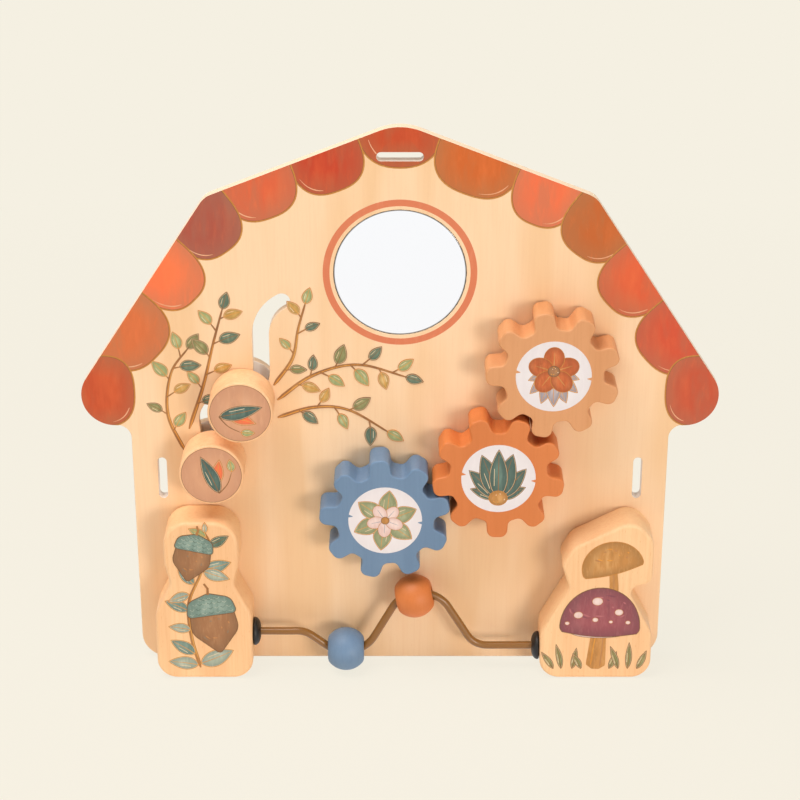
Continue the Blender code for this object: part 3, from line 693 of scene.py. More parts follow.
@dataclass(frozen=True)
class Ink(Finish):
    """Printed gouache: a tone that deepens at its outline, with brush marks in two other tones.

    The vertices' own shade attribute is 0 at a form's outline and 1 in its middle.
    """

    tone: str = "#c8532f"
    deep: str = "#8e3524"
    light: str = "#f08a5a"
    stroke_mm: float = 1.4
    slant: float = 0.6
    cloud_mm: float = 9
    roughness: float = 0.55

    def paint(self, nodes: Nodes) -> None:
        """Add clouds of both tones, a ragged deep rim and dry strokes of the light tone.

        Args:
            nodes: The material's nodes.
        """
        strokes = nodes.stretch(nodes.place(), 0.25, self.slant)
        brush = nodes.noise(strokes, self.stroke_mm * MM, 5.0, Roughness=0.6, Distortion=0.4)
        cloud = nodes.noise(strokes, self.cloud_mm * MM, 4.0, Roughness=0.6)
        shade = nodes.add("Attribute", attribute_name="shade").outputs["Fac"]
        inwards = nodes.math("ADD", shade, nodes.math("MULTIPLY_ADD", cloud, -0.9, 0.45))
        colour = nodes.blend(nodes.remap(cloud, 0.5, 0.66, high=0.75), self.tone, self.light)
        colour = nodes.blend(nodes.remap(cloud, 0.48, 0.34, high=0.6), colour, self.deep)
        colour = nodes.blend(nodes.remap(inwards, -0.05, 0.5, 0.85, 0.0), colour, self.deep)
        colour = nodes.blend(nodes.remap(brush, 0.52, 0.74, high=0.4), colour, self.light)
        self.dress(nodes, "Base Color", colour)
        self.emboss(nodes, brush, 0.2, 0.03 * MM)


@dataclass(frozen=True)
class Moulded(Finish):
    """Moulded or dipped polymer: one tone with a faint mottle and orange-peel."""

    tone: str = "#141210"
    mottle: str = "#221e1b"
    peel_mm: float = 0.9
    coat: float = 0.0

    def paint(self, nodes: Nodes) -> None:
        """Add the mottle and the surface's fine unevenness.

        Args:
            nodes: The material's nodes.
        """
        peel = nodes.noise(nodes.place(), self.peel_mm * MM, 3.0)
        self.dress(nodes, "Base Color", nodes.blend(peel, self.tone, self.mottle))
        self.emboss(nodes, peel, 0.15, 0.05 * MM)
        self.dress(nodes, "Coat Weight", self.coat)
        self.dress(nodes, "Coat Roughness", 0.15)


@dataclass(frozen=True)
class Steel(Finish):
    """Zinc-plated steel: a cool grey metal with faint clouds."""

    tone: str = "#c3c5c6"
    cloud: str = "#a7a9a8"
    cloud_mm: float = 2.5

    def paint(self, nodes: Nodes) -> None:
        """Add the plating's clouds to the colour and the roughness.

        Args:
            nodes: The material's nodes.
        """
        clouds = nodes.noise(nodes.place(), self.cloud_mm * MM, 5.0)
        self.dress(nodes, "Base Color", nodes.blend(clouds, self.tone, self.cloud))
        self.dress(nodes, "Roughness", nodes.remap(clouds, low=0.24, high=0.42))
        self.dress(nodes, "Metallic", 1.0)


@dataclass(frozen=True)
class Mirror(Finish):
    """Silvered acrylic: a clean reflection with a thin grey ring at its rim, painted shade of its seat."""

    centre: tuple[float, float] = (0.0, 0.0)
    radius: float = 0.04

    def paint(self, nodes: Nodes) -> None:
        """Make a polished metal, greyer in the last 0.8 mm of its radius as painted shade of the seat.

        Args:
            nodes: The material's nodes.
        """
        x, z = self.centre
        flat = {"Vector": nodes.place(), "Location": (-x, 0, -z), "Scale": (1, 0, 1)}
        middle = nodes.add("Mapping", flat).outputs[0]
        reach = nodes.add("VectorMath", {0: middle}, operation="LENGTH").outputs["Value"]
        # Painted shade: the rim turns grey, standing in for the shade of the seat's wall
        rim = nodes.remap(reach, self.radius - 0.8 * MM, self.radius - 0.4 * MM)
        self.dress(nodes, "Base Color", nodes.blend(rim, "#fbfbfc", "#96928f"))
        self.dress(nodes, "Metallic", 1.0)


# Birch veneer under clear lacquer: pale cream, soft upright bands, brown lines of glue at its edges
PANEL_PLY = Plywood(
    "birch plywood, clear lacquer", 0.42, "#fbdab2", "#f4cd9e", "#e9bb8a",
    fibre_share=0.24, fleck=0.2, coat=0.15, front=FACE_Y, back=BACK_Y,
)
# Walls of the routed strap slots: a near-white tone that is painted light, making them look brightly lit, with no
# plies to be seen
SLOT_WALL = Wood("birch plywood, routed and waxed", 0.6, "#fbf2ea", "#f2e6da", "#e2d0bf", band_mm=5, fleck=0.2)
# The same plywood brushed with thin white primer: chalky, its grain just showing
KEEPER_PLY = Plywood(
    "birch plywood, white primed", 0.62, "#f6f3f0", "#eeeae6", "#e2dcd6",
    front=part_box("upper_button_keeper")[0].y, back=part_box("upper_button_keeper")[1].y,
)
# Beech, sanded and waxed: warm pink-cream with short brown flecks
BEECH = Wood("beech, sanded and waxed", 0.5, "#fbd2a0", "#f6c592", "#e8ae76", fleck=0.5)
BUTTON_BEECH = Wood("beech, turned and sanded", 0.55, "#fbcd9c", "#f3c08e", "#dfa274", fleck=0.5, band_mm=14)
# Water stain on beech: opaque matt colour through which the fibres still show
ORANGE_STAIN = Wood("beech, orange water stain", 0.5, "#db8143", "#d57b3d", "#c66c2f", fibre_share=0.34, fleck=0.2)
BLUE_STAIN = Wood("beech, grey-blue water stain", 0.5, "#708eae", "#6987a7", "#5e7b9b", fibre_share=0.34, fleck=0.2)
TAN_STAIN = Wood("beech, tan water stain", 0.5, "#dc9f6d", "#d69763", "#c88751", fibre_share=0.34, fleck=0.2)
# PVC-dipped steel wire: brown, with a tight highlight along its top
WIRE_COAT = Moulded("brown PVC coating", 0.36, "#86581c", "#926426", coat=0.25)
RUBBER = Moulded("black EPDM rubber", 0.48, "#0a0707", "#120e0d")
NYLON = Moulded("natural nylon", 0.42, "#e8e4d8", "#dcd7c9")
ZINC = Steel("zinc plated steel")


# Prints


def ink(name: str, tone: str, deep: str, light: str, **more) -> Ink:
    """Return a printed gouache ink of three tones."""
    return Ink(f"{name} print ink", 0.55, tone, deep, light, **more)


BUTTON_GROUND = ink("pinkish tan ground", "#d9a27d", "#c99372", "#e2b08c", stroke_mm=2.2, cloud_mm=7)
RING_INK = ink("terracotta", "#e2865f", "#d97b53", "#e9956f", stroke_mm=3)
GOLD_LINE = ink("ochre line", "#d9963c", "#b9772c", "#efb75f")
BROWN_LINE = ink("brown line", "#8c6238", "#6d4a2a", "#b98446")
PALE_LINE = ink("pale highlight", "#f1d9b4", "#e0bf90", "#fff0d6")
TILE_GLINT = ink("tile highlight", "#e9b087", "#dc9a6e", "#f1c7a2")
STEM_INK = ink("twig brown", "#a06c3c", "#7c5230", "#c98f4f")


def mix_hex(colour: str, other: str, share: float) -> str:
    """Return an sRGB hex colour moved by a share towards another one."""
    pairs = zip(bytes.fromhex(colour[1:]), bytes.fromhex(other[1:]))
    return "#" + "".join(f"{round(own + (aim - own) * share):02x}" for own, aim in pairs)


def tile_ink(name: str, tone: str, slant: float) -> Ink:
    """Return a roof tile's ink, brushed broadly along its own slant in degrees and dusky at its rim."""
    dusky, glowing = mix_hex(tone, "#95826a", 0.4), mix_hex(tone, "#ff8a4c", 0.34)
    return ink(f"{name} tile", tone, dusky, glowing, slant=math.radians(slant), stroke_mm=2.6, cloud_mm=15)


class TilePaint(Enum):
    """The tones of the painted roof tiles."""

    RUSSET = tile_ink("russet", "#c54c1d", 20)
    AMBER = tile_ink("amber", "#d76f38", -35)
    CORAL = tile_ink("coral", "#f97644", 50)
    BRICK = tile_ink("brick", "#ab4f3b", 65)
    TANGERINE = tile_ink("tangerine", "#dc6136", 80)
    SCARLET = tile_ink("scarlet", "#c43c12", -60)
    PEAK = tile_ink("peak", "#c24410", 10)
    COPPER = tile_ink("copper", "#ce6318", -75)
    SALMON = tile_ink("salmon", "#ee7042", 35)
    CARAMEL = tile_ink("caramel", "#c2611c", -25)
    VERMILION = tile_ink("vermilion", "#de5a2b", 60)
    CRIMSON = tile_ink("crimson", "#d24d28", -50)
    CHESTNUT = tile_ink("chestnut", "#c44e2a", 15)


class LeafPaint(Enum):
    """The tones of the printed leaves."""

    TEAL = ink("dark teal leaf", "#627a66", "#48604f", "#93a68c", stroke_mm=0.9, cloud_mm=5)
    SAGE = ink("sage leaf", "#a5af78", "#838f5a", "#cbd2a2", stroke_mm=0.9, cloud_mm=5)
    OLIVE = ink("olive leaf", "#8f915e", "#6e6e42", "#b7b582", stroke_mm=0.9, cloud_mm=5)
    OCHRE = ink("ochre leaf", "#cca457", "#aa7f3b", "#e8cb8f", stroke_mm=0.9, cloud_mm=5)


@dataclass
class Print:
    """Inks laid as thin films on one flat face, joined in one mesh."""

    name: str
    face_y: float
    body: str
    slot: str
    lift: float = 0.03 * MM
    layer: float = 0.003 * MM
    sheet: bmesh.types.BMesh = field(default_factory=bmesh.new)
    inks: list[Ink] = field(default_factory=list)
    layers: int = 0

    def number(self, used: Ink) -> int:
        """Number an ink, adding it on first use.

        Args:
            used: The ink.

        Returns:
            Its place among the print's materials.
        """
        if used not in self.inks:
            self.inks.append(used)
        return self.inks.index(used)

    def lay(
        self,
        outline: Sequence[Vector],
        used: Ink,
        lines: Sequence[tuple[Ink, float]] = (),
        trims: Sequence[tuple[Vector, Vector]] = (),
        domed: bool = True,
    ) -> None:
        """Lay one form over all that is laid already.

        Args:
            outline: The form's outline in the X-Z plane.
            used: The ink inside its lines.
            lines: The ink and the width of each line that follows the outline, from outside.
            trims: (point, outward normal) of lines that end the form, such as the board's edge.
            domed: Whether the form has a middle that all its outline can see.
        """
        shape = bmesh.new()
        shade = shape.verts.layers.float.new("shade")
        front = self.face_y - self.lift - self.layers * self.layer
        self.layers += 1
        face = shape.faces.new([shape.verts.new((point.x, front, point.y)) for point in outline])
        for line, width in lines:
            shape.normal_update()
            rim = bmesh.ops.inset_region(
                shape, faces=[face], thickness=width, depth=0, use_boundary=True, use_even_offset=True
            )
            for strip in rim["faces"]:
                strip.material_index = self.number(line)
        face.material_index = self.number(used)
        if domed:
            for middle in bmesh.ops.poke(shape, faces=[face])["verts"]:
                middle[shade] = 1.0
        else:
            for corner in shape.verts:
                corner[shade] = 0.5
        for point, normal in trims:
            bmesh.ops.bisect_plane(
                shape,
                geom=[*shape.verts, *shape.edges, *shape.faces],
                plane_co=(point.x, 0, point.y),
                plane_no=(normal.x, 0, normal.y),
                clear_outer=True,
            )
        grown = bmesh.ops.extrude_face_region(shape, geom=shape.faces[:])["geom"]
        far = [item for item in grown if isinstance(item, bmesh.types.BMVert)]
        bmesh.ops.translate(shape, verts=far, vec=(0, self.face_y + self.lift - front, 0))
        bmesh.ops.recalc_face_normals(shape, faces=shape.faces)
        laid = as_mesh(shape, "laid")
        self.sheet.from_mesh(laid)
        bpy.data.meshes.remove(laid)

    def stroke(self, path: Sequence[Vector], first: float, last: float, used: Ink) -> None:
        """Lay a brush stroke along a path, from its first width to its last."""
        self.lay(ribbon(path, first, last), used, domed=False)

    def leaf(
        self, base: Vector, direction: float, length: float, width: float, used: Ink, curl: float = 0.08
    ) -> None:
        """Lay a leaf with its outline, its midrib and a pale mark of light along one side.

        Args:
            base: Where the leaf meets its stalk.
            direction: The way it points.
            length: From base to tip.
            width: The full width at the widest place.
            used: The leaf's ink.
            curl: How far the tip bends aside, as a share of the length.
        """
        dark = used in (LeafPaint.TEAL.value, LeafPaint.OLIVE.value, DEEP_TEAL)
        line = BROWN_LINE if dark else GOLD_LINE
        outline = leaf_outline(base, direction, length, width, curl)
        self.lay(outline, used, [(line, 0.4 * MM), (PALE_LINE, 0.22 * MM)])
        along = polar(1, direction)
        aside = Vector((-along.y, along.x))

        def inside(share: float, offset: float) -> Vector:
            """Return the point at a share of the leaf's length and of its width."""
            return base + along * length * share + aside * (offset * width + curl * length * share**2)

        self.stroke([inside(share, 0) for share in (0.0, 0.3, 0.6, 0.88)], 0.5 * MM, 0.3 * MM, line)
        glint = [inside(share, 0.22) for share in (0.25, 0.42, 0.6)]
        self.stroke(glint, 0.35 * MM, 0.3 * MM, PALE_LINE)

    def dab(
        self, centre: Vector, width: float, height: float, count: int, *used: Ink, broad: float = 1.5 * MM
    ) -> None:
        """Lay short curved brush marks over an oval form.

        Args:
            centre: The form's middle.
            width: The width that the marks keep inside.
            height: The height that they keep inside.
            count: How many marks.
            used: The inks, used in turn.
            broad: How wide a mark starts.
        """
        for index in range(count):
            reach = 0.25 + 0.7 * math.sqrt((index + 0.5) / count)
            start = 2.4 * index + 0.5 * math.sin(5.1 * index)
            sweep = 0.36 + 0.16 * math.sin(3.7 * index)
            spots = [polar(reach, start + sweep * step / 6) for step in range(7)]
            arc = [centre + Vector((spot.x * width / 2, spot.y * height / 2)) for spot in spots]
            self.stroke(arc, broad, broad * 0.3, used[index % len(used)])

    def finish(self) -> bpy.types.Object:
        """Join the forms, show them and return the print."""
        mesh = as_mesh(self.sheet, self.name)
        return show(mesh, self.body, self.slot, [used.material() for used in self.inks])


@dataclass
class Sprig:
    """A printed twig with alternate leaves."""

    points: Sequence[tuple[float, float]]
    leaves: Sequence[LeafPaint]
    leaf_mm: float = 13
    spread: float = math.radians(50)

    def print_on(self, sheet: Print) -> None:
        """Lay the twig's stem, then its leaves from the foot to the tip.

        Args:
            sheet: The print that gets them.
        """
        path = smooth_path([Vector((x * MM, z * MM)) for x, z in self.points])
        sheet.stroke(path, 2.7 * MM, 1.1 * MM, STEM_INK)
        lit_side = [point + Vector((0.4 * MM, 0)) for point in path[: len(path) * 3 // 4]]
        sheet.stroke(lit_side, 0.8 * MM, 0.4 * MM, GOLD_LINE)
        count = len(self.leaves)
        for index, paint in enumerate(self.leaves):
            share = 0.2 + 0.8 * index / max(1, count - 1)
            spot = min(len(path) - 2, round(share * (len(path) - 1)))
            ahead = path[spot + 1] - path[spot]
            heading = math.atan2(ahead.y, ahead.x)
            last = index == count - 1
            side = 0 if last else (1 if index % 2 else -1)
            direction = heading + side * self.spread
            stalk = path[spot] + polar((2.5 + 1.5 * (index % 3)) * MM * (0 if last else 1), direction)
            if not last:
                sheet.stroke([path[spot], stalk], 1.1 * MM, 0.7 * MM, STEM_INK)
            size = self.leaf_mm * (0.95 + 0.3 * noise.noise(Vector((index * 1.7, share, 0)))) * MM
            sheet.leaf(stalk, direction, size, size * 0.58, paint.value, curl=0.1 * side)


# Sub-assemblies


@dataclass
class House:
    """The plywood panel with its slots, its mirror and its prints."""

    apex: float = 365.9 * MM
    pitch: float = math.radians(21.4)
    shoulder_span: float = 236.6 * MM
    eaves_width: float = 399.6 * MM
    eaves_underside: float = 168.5 * MM
    body_width: float = 339.6 * MM
    eave_radius: float = 20.5 * MM
    edge: float = 0.8 * MM
    mirror_drop: float = 95.1 * MM
    mirror_diameter: float = 81.2 * MM
    mirror_seat: tuple[float, float] = (40.9 * MM, 3.1 * MM)
    axle_bore: float = 6.35 * MM
    screw_hole: float = 2.4 * MM
    screw_recess: tuple[float, float] = (4.5 * MM, 3.0 * MM)
    ring_outer: float = 94.6 * MM
    ring_inner: float = 86.3 * MM
    slot_width: float = 10.4 * MM
    slot_bends: tuple[float, float, float] = (25 * MM, 20 * MM, 15 * MM)
    slot_rise: float = 24 * MM
    slot_start: float = math.radians(117)
    slot_lean: float = math.radians(8)
    slot_run: float = 34 * MM
    strap_slot: tuple[float, float] = (28.5 * MM, 5.7 * MM)
    strap_drop: float = 20.9 * MM
    strap_height: float = 131.6 * MM
    strap_inset: float = 18.6 * MM
    peak_height: float = 363 * MM
    peak_lobe: tuple[float, float] = (52 * MM, 2 * 25.5 * MM)
    peak_glint: tuple[float, float] = (40 * MM, 2 * 22.8 * MM)
    peak_power: float = 2.3
    glint_inset: float = 6 * MM
    tile_power: float = 2.6
    tile_slide: float = 2 * MM
    tile_lap: float = 1.06
    steep_lean: float = math.radians(10)
    eave_tile: Vector = field(default_factory=lambda: mm(186, 192))

    def outline(self) -> list[Vector]:
        """Return the panel's outline, whose lower roof slope is tangent to the eave's round.

        Returns:
            The outline's points.
        """
        half = self.shoulder_span / 2
        shoulder = Vector((half, self.apex - half * math.tan(self.pitch)))
        eave = Vector((self.eaves_width / 2 - self.eave_radius, self.eaves_underside + self.eave_radius))
        down = eave - shoulder
        slope = math.atan2(down.y, down.x) + math.asin(self.eave_radius / down.length)
        corner_x = shoulder.x + (self.eaves_underside - shoulder.y) / math.tan(slope)
        right_half = [
            (self.body_width / 2, 0, 17 * MM),
            (self.body_width / 2, self.eaves_underside, 9 * MM),
            (corner_x, self.eaves_underside, self.eave_radius),
            (shoulder.x, shoulder.y, 15 * MM),
            (0, self.apex, 34 * MM),
        ]
        return rounded(mirrored(right_half))

    def winding_slot(self) -> list[Vector]:
        """Return the winding slot's outline, worked out from the upper button's swing centre.

        Returns:
            The outline's points.
        """
        swing = at_joint("upper_button_travel")
        stations: list[tuple[Vector, float]] = []

        def arc(centre: Vector, radius: float, first: float, last: float, side: int) -> None:
            """Add the stations of one bend.

            Args:
                centre: The bend's centre.
                radius: Its radius.
                first: The angle that it starts at.
                last: The angle that it ends at.
                side: 1 where it runs counter-clockwise, and -1 where it runs clockwise.
            """
            steps = math.ceil(abs(last - first) / ARC_STEP)
            for step in range(steps + 1):
                angle = first + (last - first) * step / steps
                stations.append((centre + polar(radius, angle), angle + side * math.pi / 2))

        first, second, third = self.slot_bends
        arc(swing + Vector((first + second, self.slot_rise)), first, self.slot_start, math.pi, 1)
        arc(swing, second, 0, -math.pi / 2, -1)
        arc(swing - Vector((0, second + third)), third, math.pi / 2, math.pi + self.slot_lean, 1)
        foot, heading = stations[-1]
        stations.append((foot + polar(self.slot_run, heading), heading))
        half = self.slot_width / 2
        left = [point + polar(half, heading + math.pi / 2) for point, heading in stations]
        right = [point + polar(half, heading - math.pi / 2) for point, heading in stations]
        ends = []
        for (point, heading), first in ((stations[-1], math.pi / 2), (stations[0], -math.pi / 2)):
            ends.append([point + polar(half, heading + first - math.pi * step / 16) for step in range(1, 16)])
        return left + ends[0] + right[::-1] + ends[1]

    def strap_slots(self) -> list[list[Vector]]:
        """Return the outlines of the three slots for the fixing straps.

        Returns:
            The outline of the slot at the peak, then those at the sides.
        """
        side = self.body_width / 2 - self.strap_inset
        return [
            capsule(*self.strap_slot, Vector((0, self.apex - self.strap_drop))),
            capsule(*self.strap_slot, Vector((-side, self.strap_height)), upright=True),
            capsule(*self.strap_slot, Vector((side, self.strap_height)), upright=True),
        ]

    def mirror_centre(self) -> Vector:
        """Return the mirror's middle."""
        return Vector((0, self.apex - self.mirror_drop))

    def build_panel(self, screw_places: Sequence[Vector]) -> None:
        """Build the panel with its slots, bores and mirror seat.

        Args:
            screw_places: Where the blocks' screws pass through it.
        """
        board = plate("board_panel", self.outline(), FACE_Y, BACK_Y, self.edge)
        through = (FACE_Y - 2 * MM, BACK_Y + 2 * MM)
        cutters = [plate("slot", outline, *through) for outline in self.strap_slots()]
        cutters.append(plate("slot", self.winding_slot(), *through))
        sunk, depth = self.mirror_seat
        seat = [(0, through[0]), (sunk, through[0]), (sunk, FACE_Y + depth), (0, FACE_Y + depth)]
        bore = [(0, through[0]), (self.axle_bore, through[0]), (self.axle_bore, through[1]), (0, through[1])]
        hole, (recess, deep) = self.screw_hole, self.screw_recess
        floor = BACK_Y - deep
        stepped = [(0, through[0]), (hole, through[0]), (hole, floor)]
        stepped += [(recess, floor), (recess, through[1]), (0, through[1])]
        wheels = [at_joint(f"{tone}_gear_turn") for tone in ("orange", "blue", "tan")]
        for places, profile in (([self.mirror_centre()], seat), (wheels, bore), (screw_places, stepped)):
            for place in places:
                tool = turned("bore", profile, steps=48)
                tool.transform(Matrix.Translation((place.x, 0, place.y)))
                cutters.append(tool)
        panel = cut(board, cutters, soften=0.3 * MM)
        self.light_slot_walls(panel)
        # The strap slots' walls get the near-white second material, painted light
        stand_in(panel, "board_panel", PANEL_PLY).data.materials.append(SLOT_WALL.material())

    def light_slot_walls(self, panel: Mesh) -> None:
        """Give the walls inside the strap slots the panel's second material, whose near-white tone is painted light.

        Args:
            panel: The panel's mesh.
        """
        stretches = [pair for slot in self.strap_slots() for pair in zip(slot, slot[1:] + slot[:1])]
        for face in panel.polygons:
            spot = Vector((face.center.x, face.center.z))
            for start, end in stretches:
                nearest, share = intersect_point_line(spot, start, end)
                close = -0.1 < share < 1.1 and (nearest - spot).length < 0.4 * MM
                if close and abs(face.normal.y) < 0.8:
                    face.material_index = 1

    def build_mirror(self) -> None:
        """Build the mirror plate in its seat."""
        low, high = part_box("mirror_plate")
        centre = self.mirror_centre()
        silver = Mirror("silvered acrylic", 0.02, (centre.x, centre.y), self.mirror_diameter / 2)
        mesh = turned("mirror", disc_profile(self.mirror_diameter, low.y, high.y, 0.3 * MM, steps=3), steps=128)
        stand_in(mesh, "mirror_plate", silver, centre)

    def print_ring(self) -> None:
        """Print the terracotta ring round the mirror."""
        inner, outer, film = self.ring_inner / 2, self.ring_outer / 2, 0.03 * MM
        section = [(inner, FACE_Y + film), (outer, FACE_Y + film), (outer, FACE_Y - film), (inner, FACE_Y - film)]
        ring = turned("mirror_ring_print", section, ring=True, steps=128)
        centre = self.mirror_centre()
        ring.transform(Matrix.Translation((centre.x, 0, centre.y)))
        show(ring, "board", "lacquered_plywood", [RING_INK.material()])

    def roof_edges(self) -> list[tuple[Vector, Vector]]:
        """Return the point and outward normal of each stretch of the outline above the eaves.

        Returns:
            The (point, normal) pairs, in the outline's order.
        """
        outline = self.outline()
        edges = []
        for start, end in zip(outline, outline[1:] + outline[:1]):
            if (end - start).length > 1e-6 and max(start.y, end.y) > self.eaves_underside:
                along = (end - start).normalized()
                edges.append((start, Vector((along.y, -along.x))))
        return edges

    def tiles(self, side: int) -> list[tuple[Vector, float, float, float, TilePaint]]:
        """Return one side's tiles, from the peak to the eave.

        Args:
            side: 1 for the right side and -1 for the left.

        Returns:
            Each tile's middle on the roof line, the way it hangs, its width, its depth and its paint.
        """
        if side < 0:
            borders_mm = (
                (23.5, 355.4), (64.3, 339.8), (106.1, 324.1), (135.1, 293.6), (158.6, 259.1), (185.5, 216.5),
            )
            depths_mm = (25.5, 27, 28.5, 31, 30.5)
            paints = (
                TilePaint.SCARLET, TilePaint.TANGERINE, TilePaint.BRICK, TilePaint.CORAL, TilePaint.AMBER,
                TilePaint.RUSSET,
            )
        else:
            borders_mm = (
                (22.9, 356.6), (70.9, 338.6), (108.6, 322.9), (137.6, 291.0), (161.3, 253.9), (186.9, 213.8),
            )
            depths_mm = (27.5, 30.5, 28.5, 31, 29.5)
            paints = (
                TilePaint.COPPER, TilePaint.SALMON, TilePaint.CARAMEL, TilePaint.VERMILION, TilePaint.CRIMSON,
                TilePaint.CHESTNUT,
            )
        borders = [mm(side * x, z) for x, z in borders_mm]
        places = []
        for start, end, depth, paint in zip(borders, borders[1:], depths_mm, paints):
            along = end - start
            steep = abs(along.y / along.x) > 1
            hang = math.atan2(along.y, along.x) + side * (self.steep_lean - math.pi / 2 if steep else -math.pi / 2)
            middle = (start + end) / 2 + along.normalized() * self.tile_slide
            places.append((middle, hang, along.length * self.tile_lap, depth * MM, paint))
        eave = Vector((side * self.eave_tile.x, self.eave_tile.y))
        places.append((eave, -math.pi / 2, 40.5 * MM, 24.5 * MM, paints[-1]))
        return places

    def print_roof(self) -> None:
        """Print the scalloped tiles, each lapping over the one nearer to the peak."""
        edges = self.roof_edges()
        lines = [(GOLD_LINE, 0.85 * MM), (BROWN_LINE, 0.25 * MM)]
        peak = Print("peak_tile_print", FACE_Y, "board", "lacquered_plywood")
        lobe = oval(Vector((0, self.peak_height)), *self.peak_lobe, power=self.peak_power)
        peak.lay(lobe, TilePaint.PEAK.value, lines, edges)
        glint = oval(Vector((0, self.peak_height)), *self.peak_glint)
        peak.stroke(glint[31:36], 0.25 * MM, 0.7 * MM, TILE_GLINT)
        printed = peak.finish()
        printed.data = cut(printed.data, [plate("slot", self.strap_slots()[0], FACE_Y - 2 * MM, BACK_Y)])
        sheet = Print("roof_tile_print", FACE_Y, "board", "lacquered_plywood", layers=3)
        for side in (-1, 1):
            tiles = self.tiles(side)
            for middle, hang, width, depth, paint in tiles:
                lobe = oval(middle, 2 * depth, width, hang, self.tile_power)
                sheet.lay(lobe, paint.value, lines, edges)
                inner = oval(middle, 2 * depth - self.glint_inset, width - self.glint_inset, hang, self.tile_power)
                # The eave tile's outer flank is trimmed away, so its glint sits on the other one
                on_eave = middle is tiles[-1][0]
                glint = inner[2:11] if (side > 0) != on_eave else inner[-11:-2]
                sheet.stroke(glint, 0.3 * MM, 0.8 * MM, TILE_GLINT)
        sheet.finish()

    def print_sprigs(self) -> None:
        """Print the leafy twigs on the left and under the mirror."""
        teal, sage, olive, ochre = LeafPaint.TEAL, LeafPaint.SAGE, LeafPaint.OLIVE, LeafPaint.OCHRE
        sheet = Print("leaf_print", FACE_Y, "board", "lacquered_plywood")
        for sprig in (
            Sprig(
                [(-136, 150), (-146, 176), (-143, 204), (-131, 222)],
                (sage, olive, ochre, sage, teal, sage, olive),
            ),
            Sprig(
                [(-133, 166), (-123, 196), (-116, 224), (-109, 249)],
                (teal, sage, ochre, olive, teal, sage, ochre, teal),
            ),
            Sprig([(-79, 196), (-67, 214), (-63, 234), (-58, 252)], (olive, sage, teal, ochre, sage), leaf_mm=11.5),
            Sprig(
                [(-77, 186), (-54, 203), (-26, 210), (6, 201)],
                (ochre, teal, sage, olive, sage, teal, ochre, sage, teal),
            ),
            Sprig([(-77, 174), (-54, 181), (-32, 179), (-6, 163)], (teal, ochre, sage, olive, teal, sage)),
        ):
            sprig.print_on(sheet)
        sheet.finish()

    def build(self, screw_places: Sequence[Vector]) -> None:
        """Build the panel, the mirror and the prints.

        Args:
            screw_places: Where the blocks' screws pass through the panel.
        """
        self.build_panel(screw_places)
        self.build_mirror()
        self.print_ring()
        self.print_roof()
        self.print_sprigs()


@dataclass
class Wheel:
    """One nine-tooth wheel of the train, with its printed disc."""

    tone: str
    stain: Wood
    phase: float
    pitch_diameter: float = 76.8 * MM
    teeth: int = 9
    addendum: float = 3.2 * MM
    dedendum: float = 7.2 * MM
    backlash: float = 1.3 * MM
    taper: float = math.radians(4)
    root_round: float = 4.0 * MM
    tip_round: float = 4.8 * MM
    edge: float = 1.1 * MM
    disc: float = 46.6 * MM
    nicks: tuple[float, ...] = (172, -4)

    @property
    def node(self) -> str:
        """The CAD node of the wheel."""
        return f"{self.tone}_wheel"

    @property
    def centre(self) -> Vector:
        """The wheel's axis in the X-Z plane."""
        return at_joint(f"{self.tone}_gear_turn")

    def outline(self) -> list[Vector]:
        """Return the toothed outline, with rounded tips and valleys.

        Returns:
            The outline's points.
        """
        pitch_radius = self.pitch_diameter / 2
        half = (2 * math.pi * pitch_radius / self.teeth - self.backlash) / 4
        tip_half = half - self.addendum * math.tan(self.taper)
        root_half = half + self.dedendum * math.tan(self.taper)
        root = math.sqrt((pitch_radius - self.dedendum) ** 2 - root_half**2)
        tip = pitch_radius + self.addendum
        corners = []
        for tooth in range(self.teeth):
            turn = Matrix.Rotation(self.phase + 2 * math.pi * tooth / self.teeth, 2)
            flank = ((root, -root_half, self.root_round), (tip, -tip_half, self.tip_round))
            for reach, side, radius in (*flank, (tip, tip_half, self.tip_round), (root, root_half, self.root_round)):
                corner = turn @ Vector((reach, side))
                corners.append((corner.x, corner.y, radius))
        return rounded(corners)

    def build(self) -> Print:
        """Build the wheel and the pale disc printed on it.

        Returns:
            The print on its face, with the disc laid.
        """
        low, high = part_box(self.node)
        stand_in(plate(self.node, self.outline(), low.y, high.y, self.edge, 4), self.node, self.stain, self.centre)
        sheet = Print(f"{self.node}_print", low.y, body_with(self.node), SLOTS[self.node])
        sheet.lay(oval(self.centre, self.disc, self.disc), PAPER)
        stroke = ink(f"{self.tone} stroke", self.stain.tone, self.stain.band, self.stain.fibre)
        for turn in self.nicks:
            reaches = (self.disc / 2 + 0.2 * MM, self.disc / 2 - 2.6 * MM)
            nick = [self.centre + polar(reach, math.radians(turn)) for reach in reaches]
            sheet.stroke(nick, 2.2 * MM, 0.4 * MM, stroke)
        return sheet


PAPER = ink("pale ground", "#ebe8ec", "#e5e1e5", "#f4f2f5", stroke_mm=4)
RUST = ink("rust petal", "#c9652f", "#a04d22", "#dd8850", cloud_mm=5)
PLUM = ink("plum red", "#9b5058", "#7a434b", "#b56f72", cloud_mm=8)
DEEP_TEAL = ink("deep teal", "#4f6a61", "#40574f", "#6f8d81", cloud_mm=5)
BLOSSOM = ink("pale blossom", "#ecd5cf", "#dcbab3", "#f7e8e2", cloud_mm=4)
LILAC = ink("grey lilac", "#b0a7ae", "#918893", "#cfc8cd", cloud_mm=4)
SAGE_GREY = ink("grey sage", "#9aa27c", "#7f875f", "#bac19f", cloud_mm=5)
FRUIT = ink("russet brown", "#a3724a", "#86603f", "#bf9065", cloud_mm=9)
STONE = ink("pale teal", "#a5b3a2", "#869488", "#c9d2c4", cloud_mm=5)
ROSE = ink("rose stroke", "#b0646a", "#a0575f", "#c27b7d")
DUSKY_PLUM = ink("dusky plum stroke", "#7f434f", "#733c48", "#915463")
MUTED_TEAL = ink("muted teal", "#7f9a8f", "#647e74", "#a3b8ac", cloud_mm=5)
